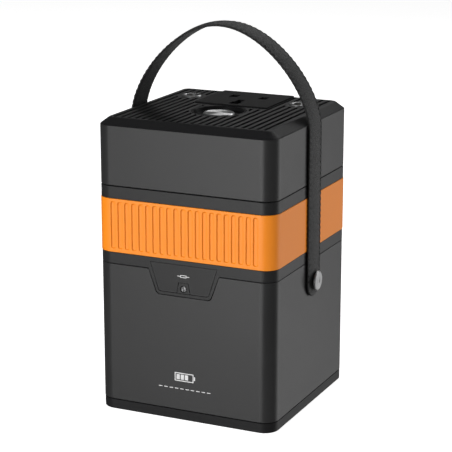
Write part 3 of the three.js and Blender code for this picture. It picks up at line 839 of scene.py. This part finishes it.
# ---- Lid ----
# A black moulded cap with a broad sloping edge and ribs that run from front to back. The ribs stop round
# the outlet, the button's dish and the two ports, and a lip underneath locates it in the upper housing.
lid_low, lid_high = box_of("lid_panel")
LID_SKIRT = 198.75
LID_UNDER = 200.2
LID_LIP_IN = 5.0
LID_RIM_IN = 0.15
SLOPE = 6.4
lid_profile = soft_corners(
    [
        (SLOPE + 2.5, LID_UNDER),
        (SLOPE + 2.5, LID_SKIRT),
        (LID_LIP_IN, LID_SKIRT),
        (LID_LIP_IN, lid_low.z),
        (LIP_OUT, lid_low.z),
        (LIP_OUT, LID_SKIRT),
        (LID_RIM_IN, LID_SKIRT),
        (SLOPE, lid_high.z),
        (SLOPE + 1.3, lid_high.z),
    ],
    [0.1, 0.1, 0.1, 0.1, 0.1, 0.35, 0.9],
    4,
    closed=False,
)
lid = round_tower("ribbed_lid", lid_profile, closed=False)
outlet_low, outlet_high = box_of("ac_outlet")
dish_low, dish_high = box_of("button_dish")
dish_centre = middle_of("button_dish")
ports = ("dc_port_left", "dc_port_right")
port_low, port_high = box_of(ports[0])
DISH_RADIUS = (dish_high.x - dish_low.x) / 2
PORT_RADIUS = (port_high.x - port_low.x) / 2
OUTLET_BODY = (-23.0, 23.0, 12.0, 54.0)
FIT_GAP = 0.3
BELOW_LID = 190.0
RIBS = 22
RIB_PITCH = 5.16
RIB_GROOVE = 2.3
RIB_DEPTH = 1.4
RIB_STOP = 1.4
OUTLET_LAND = {"side": 0.6, "front": 4.0}
DISH_LAND = 1.6
PORT_LAND = 10.4


def merge(name, pieces):
    """One object out of several closed pieces, which are thrown away."""
    work = bmesh.new()
    for piece in pieces:
        work.from_mesh(piece.data)
        bpy.data.objects.remove(piece)
    mesh = bpy.data.meshes.new(name)
    work.to_mesh(mesh)
    work.free()
    return add_to_scene(name, mesh)


def rib_cutter():
    """The grooves between the ribs as one tool: a row of long boxes, kept off the fittings' lands."""
    reach = tower_half - SLOPE - RIB_STOP
    grooves = []
    for x in (np.arange(RIBS) - (RIBS - 1) / 2) * RIB_PITCH:
        sides = rectangle(x - RIB_GROOVE / 2, x + RIB_GROOVE / 2, -reach, reach, 0.5)
        grooves.append(plate("groove", sides, lid_high.z - RIB_DEPTH, lid_high.z + 2))
    tool = merge("rib_grooves", grooves)
    left, right = outlet_low.x - OUTLET_LAND["side"], outlet_high.x + OUTLET_LAND["side"]
    lands = [rectangle(left, right, outlet_low.y - OUTLET_LAND["front"], tower_half)]
    lands.append(disc(dish_centre, DISH_RADIUS + DISH_LAND, 64))
    lands += [disc(middle_of(port), PORT_LAND, 64) for port in ports]
    for land in lands:
        combine(tool, plate("land", land, lid_high.z - 5, lid_high.z + 5))
    return tool


combine(lid, rib_cutter())
x0, x1, y0, y1 = OUTLET_BODY
lid_holes = [rectangle(x0 - FIT_GAP, x1 + FIT_GAP, y0 - FIT_GAP, y1 + FIT_GAP)]
lid_holes.append(disc(dish_centre, DISH_RADIUS + FIT_GAP, 72))
lid_holes += [disc(middle_of(port), PORT_RADIUS + FIT_GAP, 48) for port in ports]
for hole in lid_holes:
    combine(lid, plate("hole", hole, BELOW_LID, lid_high.z + 1))
soften(lid, 0.22)
place_piece(lid, black_plastic, "housing", "black_plastic", "lid_panel")


# ---- Mains outlet ----
# A smooth black moulded block let into the lid, with a thin raised flange. Two upright openings take the
# line and neutral pins and a stepped one in front takes the earth pin.
smooth_black = moulded_plastic(
    "smooth_black", (0.007, 0.007, 0.0073), (0.010, 0.010, 0.0104), 0.34, 0.08, 3200.0, 0.008, 0.08
)
PIN_HOLE_FOOT = 186.0
PIN_HOLES = (
    # middle in X and Y, width, depth
    (-11.1, 40, 6, 8.4),
    (11.1, 40, 6, 8.4),
    (0, 24.5, 5, 8.02),
    (0, 16.6, 7.4, 8),
)
flange = rectangle(outlet_low.x, outlet_high.x, outlet_low.y, outlet_high.y, 0.9, 4)
outlet = plate("outlet_block", flange, lid_high.z + 0.05, outlet_high.z)
combine(outlet, plate("outlet_body", rectangle(*OUTLET_BODY), outlet_low.z, outlet_high.z - 0.4), "UNION")
for x, y, width, depth in PIN_HOLES:
    sides = rectangle(x - width / 2, x + width / 2, y - depth / 2, y + depth / 2)
    combine(outlet, plate("pin_hole", sides, PIN_HOLE_FOOT, outlet_high.z + 1))
soften(outlet, 0.3)
place_piece(outlet, smooth_black, "housing", "black_plastic", "ac_outlet")


# ---- Button dish and power button ----
# A turned black dish let into the lid, and in its middle a round metal cap that is pressed down on the
# switch. The cap's face is spun, with a chamfered rim.
button_low, button_high = box_of("power_button")
BUTTON_RADIUS = button_high.x
DISH_FLOOR = lid_high.z - 3.2
DISH_RIM = 1.2
DISH_SLOPE = 1.0
CAP_CHAMFER = 0.75
CAP_RING = {"outer": 1.6, "inner": 1.8, "below": 0.08, "deep": 0.2}
dish_axis = (0, dish_centre.y, 0)
dish_profile = [
    (BUTTON_RADIUS + FIT_GAP, DISH_FLOOR),
    (BUTTON_RADIUS + FIT_GAP, dish_low.z),
    (DISH_RADIUS, dish_low.z),
    (DISH_RADIUS, dish_high.z),
    (DISH_RADIUS - DISH_RIM, dish_high.z),
    (DISH_RADIUS - DISH_RIM - DISH_SLOPE, DISH_FLOOR),
]
dish_profile = soft_corners(dish_profile, [0.2, 0.1, 0.1, 0.3, 0.4, 0.6], 4)
dish = turned("round_dish", dish_profile, dish_axis, steps=96, closed=True)
soften(dish, 0)
place_piece(dish, smooth_black, "housing", "black_plastic", "button_dish")

cap_profile = [
    (0, button_low.z),
    (BUTTON_RADIUS, button_low.z),
    (BUTTON_RADIUS, button_high.z - CAP_CHAMFER),
    (BUTTON_RADIUS - CAP_CHAMFER, button_high.z - CAP_RING["below"]),
    (BUTTON_RADIUS - CAP_RING["outer"], button_high.z - CAP_RING["below"]),
    (BUTTON_RADIUS - CAP_RING["inner"], button_high.z - CAP_RING["deep"]),
    (0, button_high.z),
]
button = turned("metal_button", soft_corners(cap_profile, 0.15, closed=False), dish_axis, steps=96)
soften(button, 0, angle=30)
button_steel = spun_metal(
    "button_steel", (0.80, 0.80, 0.81), (0.92, 0.92, 0.92), 0.32, dish_axis, (0, 0, 1), 2600.0
)
place_piece(button, button_steel, "button", "spun_steel", "power_button")


# ---- Direct-current ports ----
# Two turned metal barrels, one on each side of the outlet, with a chamfered rim and a deep bore. The
# brass pin that stands in each bore is the frame's own.
PORT_NECK = 1.0
PORT_CHAMFER = 0.4
PORT_BORE = 5.0
PORT_BORE_FOOT = 192.0
for port in ports:
    centre = middle_of(port)
    low, high = box_of(port)
    barrel_profile = [
        (0, low.z),
        (PORT_RADIUS - PORT_NECK, low.z),
        (PORT_RADIUS - PORT_NECK, LID_UNDER - 2),
        (PORT_RADIUS, LID_UNDER - 2),
        (PORT_RADIUS, high.z - PORT_CHAMFER),
        (PORT_RADIUS - PORT_CHAMFER, high.z),
        (PORT_BORE + PORT_CHAMFER, high.z),
        (PORT_BORE, high.z - PORT_CHAMFER),
        (PORT_BORE, PORT_BORE_FOOT),
        (0, PORT_BORE_FOOT),
    ]
    barrel_profile = soft_corners(barrel_profile, 0.12, closed=False)
    axis_foot = (centre.x, centre.y, 0)
    barrel = turned(port + "_barrel", barrel_profile, axis_foot, steps=72)
    soften(barrel, 0, angle=30)
    steel = spun_metal(
        port + "_steel", (0.62, 0.62, 0.63), (0.78, 0.78, 0.78), 0.3, axis_foot, (0, 0, 1), 3200.0
    )
    place_piece(barrel, steel, "housing", "spun_steel", port)


# ---- Fuse door, its screw and the fuse ----
# A thin graphite door that fills the seat in the tongue, with a drawn fuse sign printed on it and a small
# captive steel screw in a round recess. Behind it a glass fuse with metal caps lies in its holder.
RECESS = {"radius": 2.5, "depth": 1.3, "hole": 1.7, "back": -60.0}
TAB = {"half_top": 3.7, "half_bottom": 5.4, "height": 7.6, "groove": 0.5, "depth": 0.45}
door_outline = wedge(door_high.z, door_high.x, door_low.z, DOOR_HALF_FOOT, DOOR_CORNER)
door = plate("door_panel", door_outline, door_low.y, door_high.y, along="Y")
recess_steps = (RECESS["radius"], door_low.y + RECESS["depth"]), (RECESS["hole"], RECESS["back"])
recess = stepped(BEFORE_FRONT, *recess_steps)
combine(door, turned("recess", recess, door_screw_axis, "Y", 40))
# A thin groove draws a pull tab round the screw: a tapering outline, and the same one drawn in.
tab_outline = np.array(
    [
        (-TAB["half_bottom"], door_low.z - 1),
        (-TAB["half_top"], door_low.z + TAB["height"]),
        (TAB["half_top"], door_low.z + TAB["height"]),
        (TAB["half_bottom"], door_low.z - 1),
    ]
)
inner_scale = [1 - TAB["groove"] / TAB["half_bottom"], 1]
inner_tab = (tab_outline * inner_scale - [0, TAB["groove"]])[::-1]
tab_groove = np.concatenate([tab_outline, inner_tab])
combine(door, plate("tab_groove", tab_groove, BEFORE_FRONT, door_low.y + TAB["depth"], along="Y"))
soften(door, 0.25)
place_piece(door, graphite_frame, "door", "graphite_shell", "fuse_door")

door_screw_low, door_screw_high = box_of("fuse_door_screw")
DOOR_SCREW = {"head": 1.85, "thick": 0.95, "shank": 1.35, "slot": 0.7, "slot_depth": 0.5}
head_step = (DOOR_SCREW["head"], door_screw_low.y + DOOR_SCREW["thick"])
head = stepped(door_screw_low.y, head_step, (DOOR_SCREW["shank"], door_screw_high.y))
door_screw = turned("door_screw", soft_corners(head, 0.2, closed=False), door_screw_axis, "Y", 40)
half_slot, slot_middle = DOOR_SCREW["slot"] / 2, door_screw_axis[2]
slot_sides = rectangle(-half_slot, half_slot, slot_middle - 3, slot_middle + 3)
slot_floor = door_screw_low.y + DOOR_SCREW["slot_depth"]
combine(door_screw, plate("slot", slot_sides, BEFORE_FRONT, slot_floor, along="Y"))
soften(door_screw, 0)
door_steel = spun_metal(
    "door_screw_steel", (0.3, 0.3, 0.31), (0.45, 0.45, 0.45), 0.35, door_screw_axis, (0, 1, 0)
)
place_piece(door_screw, door_steel, "door_screw", "spun_steel", "fuse_door_screw")

CAP_LENGTH = 6.0
fuse_low, fuse_high = box_of("fuse")
fuse_centre = middle_of("fuse")
FUSE_RADIUS = (fuse_high.z - fuse_low.z) / 2
GLASS_RADIUS = FUSE_RADIUS - 0.3
tube_half = fuse_high.x - CAP_LENGTH
tube = turned("fuse_tube", stepped(-tube_half, (GLASS_RADIUS, tube_half)), fuse_centre, "X", 40)
soften(tube, 0)
fuse_glass = patterned(
    "fuse_glass", (0.55, 0.62, 0.6), (0.72, 0.78, 0.76), 0.05, 0.0, (200, 60, 60), depth=0.01
)
place_piece(tube, fuse_glass, "housing", "fuse_glass", "fuse")
for side, where in ((-1, "left"), (1, "right")):
    cap = stepped(side * (tube_half - 0.01), (FUSE_RADIUS, side * fuse_high.x))
    fuse_cap = turned("fuse_cap_" + where, soft_corners(cap, 0.3, closed=False), fuse_centre, "X", 40)
    soften(fuse_cap, 0)
    place_piece(fuse_cap, inside_finishes["heat_sink"], "housing", "alloy")


# ---- Printed signs ----
# Pale ink printed on the graphite, a hair thick: a drawn fuse on the door, and on the lower housing a
# drawn battery over a dashed rule.
pale_ink = patterned(
    "pale_ink", (0.52, 0.52, 0.52), (0.68, 0.68, 0.68), 0.4, 0.0, (800, 800, 800), depth=0.005
)
INK = 0.03


def print_strokes(name, strokes, face, body):
    """Strokes of ink on an upright face that looks forward, each a rectangle of X and Z limits."""
    low, high = face - INK, face + INK / 3
    sign = merge(name, [plate("stroke", rectangle(*stroke), low, high, along="Y") for stroke in strokes])
    place_piece(sign, pale_ink, body, "graphite_shell")


def level_stroke(x0, x1, z, half_height):
    """A stroke from x0 to x1, centred on height z."""
    return (x0, x1, z - half_height, z + half_height)


def frame_strokes(half, z, half_height, line):
    """Four strokes that draw the outline of a rectangle centred on height z."""
    foot, head = z - half_height, z + half_height
    level = [(-half, half, foot, foot + line), (-half, half, head - line, head)]
    upright = [(x0, x0 + line, foot + line, head - line) for x0 in (-half, half - line)]
    return level + upright


FUSE_SIGN = {"z": 101.6, "half": 2.3, "half_height": 0.9, "wire_end": 4.4, "line": 0.42}
half, z, line = FUSE_SIGN["half"], FUSE_SIGN["z"], FUSE_SIGN["line"]
fuse_sign = frame_strokes(half, z, FUSE_SIGN["half_height"], line)
for start, end in ((-FUSE_SIGN["wire_end"], -half), (half, FUSE_SIGN["wire_end"])):
    fuse_sign.append(level_stroke(start, end, z, line / 2))
print_strokes("fuse_sign", fuse_sign, door_low.y, "door")

BATTERY_Z = 31.0
BARS = {"starts": (-5.6, -2.5, 0.6), "width": 2.4, "half_height": 1.8}
RULE = {"z": 22.6, "starts": np.arange(-19, 17.6, 4.0), "width": 2.6, "half_height": 0.25}
battery_sign = frame_strokes(half=7.0, z=BATTERY_Z, half_height=3.0, line=0.6)
battery_sign.append(level_stroke(x0=7.2, x1=8.2, z=BATTERY_Z, half_height=1.3))
for row, z in ((BARS, BATTERY_Z), (RULE, RULE["z"])):
    battery_sign += [level_stroke(x, x + row["width"], z, row["half_height"]) for x in row["starts"]]
print_strokes("battery_sign", battery_sign, -tower_half, "housing")


# ---- Carrying strap ----
# Two layers of black leather over a soft core, stitched along both margins and round the ends. It runs
# up one side, over the lid in a soft arch and down the other, and turns on a shoulder screw at each end.
STRAP_INNER = tower_half + 0.5
LEG_TOP = 194.0
ARCH_TOP = strap_high.z - 1.45
ARCH_RISE = 26.2
ARCH_REACH = 32.6
STITCH_PITCH = 4.0
STITCH_FROM_EDGE = 1.6
# The stitches pull the outer face in and the edge inwards, each fading out within so many millimetres.
PINCH_DEPTH, PINCH_WIDE = 0.6, 1.1
PINCH_SIDE, PINCH_SIDE_WIDE = 0.55, 0.9
# How far the outer and the inner face stand from the strap's inner line, by distance from its edge.
EDGE_DISTANCE = [0.0, 0.08, 0.2, 0.45, 0.8, 1.3, 2.1, 3.0, 3.4, 3.7, 4.1, 4.6, 5.4, 7.0, 9.0, 11.0]
OUTER_FACE = [0.7, 1.0, 1.22, 1.4, 1.47, 1.5, 1.52, 1.56, 1.58, 1.62, 1.7, 1.82, 2.0, 2.3, 2.5, 2.58]
INNER_FACE = [0.7, 0.4, 0.18, 0.02] + [0.0] * 12
STRAP_HOLE = 3.2


def strap_line():
    """The strap's inner line, foot to foot, as close points in X and Z, with the length run so far.

    Each half is a straight leg and then one cubic curve from the leg's top to the middle of the arch.
    """
    leg = np.stack([np.full(600, STRAP_INNER), np.linspace(strap_low.z, LEG_TOP, 600)], axis=1)[:-1]
    t = np.linspace(0, 1, 900)[:, None]
    start, end = np.array([STRAP_INNER, LEG_TOP]), np.array([0, ARCH_TOP])
    leave, arrive = start + [0, ARCH_RISE], end + [ARCH_REACH, 0]
    arch = (1 - t) ** 3 * start + 3 * t * (1 - t) ** 2 * leave + 3 * t * t * (1 - t) * arrive + t**3 * end
    half = np.concatenate([leg, arch])
    line = np.concatenate([half, half[-2::-1] * [-1, 1]])
    run = np.concatenate([[0], np.cumsum(np.linalg.norm(np.diff(line, axis=0), axis=1))])
    return line, run


def along_strap(stations):
    """Points on the inner line at these lengths, and the outward way there."""
    line, run = strap_line()
    slope = np.gradient(line, run, axis=0)
    at = np.stack([np.interp(stations, run, line[:, k]) for k in (0, 1)], axis=1)
    on = np.stack([np.interp(stations, run, slope[:, k]) for k in (0, 1)], axis=1)
    on /= np.linalg.norm(on, axis=1)[:, None]
    return at, np.stack([on[:, 1], -on[:, 0]], axis=1)


def strap_mesh():
    """The strap: its section carried along the inner line, and drawn to a half circle at each foot.

    Across the strap, y runs from edge to edge of the width left at that station, and both faces stand
    off the inner line by how far the point is from the nearest edge. The outer face is pressed in, and
    the edge drawn in, by a wave along the strap with one trough at each stitch.
    """
    length = strap_line()[1][-1]
    round_end = STRAP_HALF * (1 - np.cos(np.linspace(0, math.pi / 2, 30)))
    straight = np.linspace(STRAP_HALF, length - STRAP_HALF, 520)[1:-1]
    stations = np.concatenate([round_end, straight, length - round_end[::-1]])
    at, out = along_strap(stations)
    from_end = np.minimum(stations, length - stations)
    short = np.maximum(STRAP_HALF - from_end, 0)
    room = np.sqrt(np.maximum(STRAP_HALF**2 - short**2, 0))
    side = STRAP_HALF - np.array(EDGE_DISTANCE)
    outer_y = np.concatenate([-side, side[-2::-1]])
    y = np.concatenate([outer_y, outer_y[-2:0:-1]])[None] * (room / STRAP_HALF)[:, None]
    from_edge = STRAP_HALF - np.hypot(y, short[:, None])
    trough = 0.5 + 0.5 * np.cos((stations - length / 2) * 2 * math.pi / STITCH_PITCH)[:, None]
    trough = trough * (short == 0)[:, None]
    near_seam = np.exp(-(((from_edge - STITCH_FROM_EDGE) / PINCH_WIDE) ** 2))
    outer = np.interp(from_edge, EDGE_DISTANCE, OUTER_FACE) - PINCH_DEPTH * trough * near_seam
    y = y - np.sign(y) * PINCH_SIDE * trough * np.exp(-from_edge / PINCH_SIDE_WIDE)
    inner = np.interp(from_edge, EDGE_DISTANCE, INNER_FACE)
    stand = np.where(np.arange(y.shape[1]) < len(outer_y), outer, inner)
    x = at[:, None, 0] + out[:, None, 0] * stand
    z = at[:, None, 1] + out[:, None, 1] * stand
    faces = grid_faces(*y.shape, False, True).tolist()
    return piece_from("leather_strap", np.stack([x, y, z], axis=2).reshape(-1, 3), faces)


def leather():
    """Black grained leather: small pebbles with duller creases between, and margins darkened with painted
    shade.

    The pebbles are cells of a Voronoi pattern, bent a little by a noise. The painted shade on the margins
    starts where the distance from the strap's middle passes a set width.
    """
    material, tree, shader = new_material("strap_leather", {"Specular IOR Level": 0.62})
    where = add_node(tree, "TexCoord")
    warp = add_node(tree, "TexNoise", values={"Scale": 400.0})
    bent = add_node(tree, "Mix", {"data_type": "VECTOR"}, {"Factor": 0.002})
    pebbles = add_node(tree, "TexVoronoi", {"feature": "DISTANCE_TO_EDGE"}, {"Scale": 900.0})
    crease = add_node(tree, "MapRange", values={"From Max": 0.25})
    tone = two_tones(tree, (0.018, 0.018, 0.018), (0.036, 0.036, 0.0365))
    gloss = add_node(tree, "MapRange", values={"To Min": 0.72, "To Max": 0.5})
    apart = add_node(tree, "SeparateXYZ")
    width = add_node(tree, "Math", {"operation": "ABSOLUTE"})
    # Painted shade: the margins, which slope away from the light, are mixed towards a darker tone.
    margin = add_node(tree, "MapRange", values={"From Min": 6.2 * MM, "From Max": 9.4 * MM})
    margin_painted_shade = add_node(tree, "Mix", {"data_type": "RGBA"}, {"B": (0.014, 0.014, 0.014, 1.0)})
    join(
        tree,
        (where, "Object", apart, 0),
        (apart, "Y", width, 0),
        (width, 0, margin, "Value"),
        (margin, "Result", margin_painted_shade, "Factor"),
        (tone, "Result", margin_painted_shade, "A"),
        (where, "Object", warp, "Vector"),
        (where, "Object", bent, "A"),
        (warp, "Color", bent, "B"),
        (bent, "Result", pebbles, "Vector"),
        (pebbles, "Distance", crease, "Value"),
        (crease, "Result", tone, "Factor"),
        (crease, "Result", gloss, "Value"),
    )
    dress(tree, shader, (margin_painted_shade, "Result"), (gloss, "Result"), (crease, "Result"), 0.12, 0.7)
    return material


strap_leather = leather()
strap = strap_mesh()
combine(strap, turned("strap_hole", stepped(-80, (STRAP_HOLE, 80)), strap_axis, "X", 40))
soften(strap, 0, angle=55)
place_piece(strap, strap_leather, "strap", "strap_leather", "carry_strap")


# ---- Stitching ----
# Waxed black thread in one closed run, along both margins of the strap and round its two ends.
STITCH = {"length": 2.9, "width": 0.8, "height": 0.62}
# A stitch's rings: their places along it and their sizes, each as a part of its half length and width.
STITCH_RINGS = np.array([-1.0, -0.7, 0.0, 0.7, 1.0])
STITCH_SWELL = np.array([0.12, 0.78, 1.0, 0.78, 0.12])
STITCH_SIDES = 6


def seam_line():
    """The closed line of the seam in millimetres, and the way out of the leather at each point.

    The line keeps a set distance from the strap's edge: down one margin, round the end, up the other.
    """
    length = strap_line()[1][-1]
    off = STRAP_HALF - STITCH_FROM_EDGE
    legs = np.linspace(STRAP_HALF, length - STRAP_HALF, 1200)
    turn = np.linspace(-math.pi / 2, math.pi / 2, 60)[1:-1]
    far = length - STRAP_HALF + off * np.cos(turn)
    near = STRAP_HALF - off * np.cos(turn)
    stations = np.concatenate([legs, far, legs[::-1], near])
    margin = np.full(len(legs), off)
    y = np.concatenate([-margin, off * np.sin(turn), margin, -off * np.sin(turn)])
    at, out = along_strap(stations)
    face = float(np.interp(STITCH_FROM_EDGE, EDGE_DISTANCE, OUTER_FACE)) - PINCH_DEPTH / 2
    seam = np.stack([at[:, 0] + out[:, 0] * face, y, at[:, 1] + out[:, 1] * face], axis=1)
    return seam, np.stack([out[:, 0], np.zeros(len(y)), out[:, 1]], axis=1)


def stitch_mesh():
    """All stitches: a small spindle repeated along the closed line of the seam.

    A spindle is a ring of six points whose radius swells and shrinks along its length, flattened
    towards the leather. Each is laid along the seam, across it and out of the leather.
    """
    seam, up = (np.concatenate([line, line[:1]]) for line in seam_line())
    run = np.concatenate([[0], np.cumsum(np.linalg.norm(np.diff(seam, axis=0), axis=1))])
    count = int(round(run[-1] / STITCH_PITCH))
    places = (np.arange(count) + 0.5) * run[-1] / count

    def at_run(values, table):
        return np.stack([np.interp(values % run[-1], run, table[:, k]) for k in range(3)], axis=1)

    centre = at_run(places, seam)
    ahead = at_run(places + 0.5, seam) - at_run(places - 0.5, seam)
    ahead /= np.linalg.norm(ahead, axis=1)[:, None]
    above = at_run(places, up)
    above /= np.linalg.norm(above, axis=1)[:, None]
    across = np.cross(ahead, above)
    along = STITCH_RINGS * STITCH["length"] / 2
    turn = np.arange(STITCH_SIDES) * 2 * math.pi / STITCH_SIDES
    wide = STITCH_SWELL[:, None] * np.cos(turn) * STITCH["width"] / 2
    tall = STITCH_SWELL[:, None] * np.sin(turn) * STITCH["height"] / 2
    points = (
        centre[:, None, None]
        + along[None, :, None, None] * ahead[:, None, None]
        + wide[None, :, :, None] * across[:, None, None]
        + tall[None, :, :, None] * above[:, None, None]
    ).reshape(-1, 3)
    each = len(STITCH_RINGS) * STITCH_SIDES
    first = np.arange(count)[:, None] * each
    walls = grid_faces(len(STITCH_RINGS), STITCH_SIDES, False, True)[None] + first[:, :, None]
    ends = np.concatenate([first + np.arange(STITCH_SIDES), first + np.arange(each - STITCH_SIDES, each)])
    return piece_from("strap_stitching", points, walls.reshape(-1, 4).tolist() + ends.tolist())


thread = patterned(
    "waxed_thread", (0.012, 0.012, 0.012), (0.030, 0.030, 0.030), 0.38, 0.0, (1500, 1500, 1500), depth=0.03
)
stitches = stitch_mesh()
soften(stitches, 0, angle=60)
place_piece(stitches, thread, "strap", "strap_leather")


# ---- Strap screws ----
# A turned shoulder screw on each side, with a broad flat head whose rim is chamfered. The strap turns on
# the shoulder, and the thread goes into a brass insert in the lower housing.
HEAD_THICK = 1.2
HEAD_CHAMFER = {"wide": 0.8, "deep": 0.6}
HEAD_HOLLOW = {"inner": 0.3, "outer": 0.36, "deep": 0.3}
SHOULDER = {"radius": 2.9, "to": 62.7}
THREAD_RADIUS = 2.0
for side, where in ((-1, "left"), (1, "right")):
    name = "strap_screw_" + where
    low, high = box_of(name)
    tip, face = (low.x, high.x) if side > 0 else (high.x, low.x)
    radius = (high.z - low.z) / 2 - 0.3
    under_head = face - side * HEAD_THICK
    profile = [
        (0, face - side * HEAD_HOLLOW["deep"]),
        (radius * HEAD_HOLLOW["inner"], face - side * HEAD_HOLLOW["deep"]),
        (radius * HEAD_HOLLOW["outer"], face),
        (radius - HEAD_CHAMFER["wide"], face),
        (radius, face - side * HEAD_CHAMFER["deep"]),
        (radius, under_head),
        (SHOULDER["radius"], under_head),
        (SHOULDER["radius"], side * SHOULDER["to"]),
        (THREAD_RADIUS, side * SHOULDER["to"]),
        (THREAD_RADIUS, tip),
        (0, tip),
    ]
    screw = turned("steel_" + name, soft_corners(profile, 0.12, closed=False), strap_axis, "X", 72)
    soften(screw, 0, angle=30)
    steel = spun_metal(
        name + "_steel", (0.46, 0.46, 0.465), (0.6, 0.6, 0.6), 0.3, strap_axis, (1, 0, 0), 2600.0
    )
    place_piece(screw, steel, "housing", "spun_steel", name)
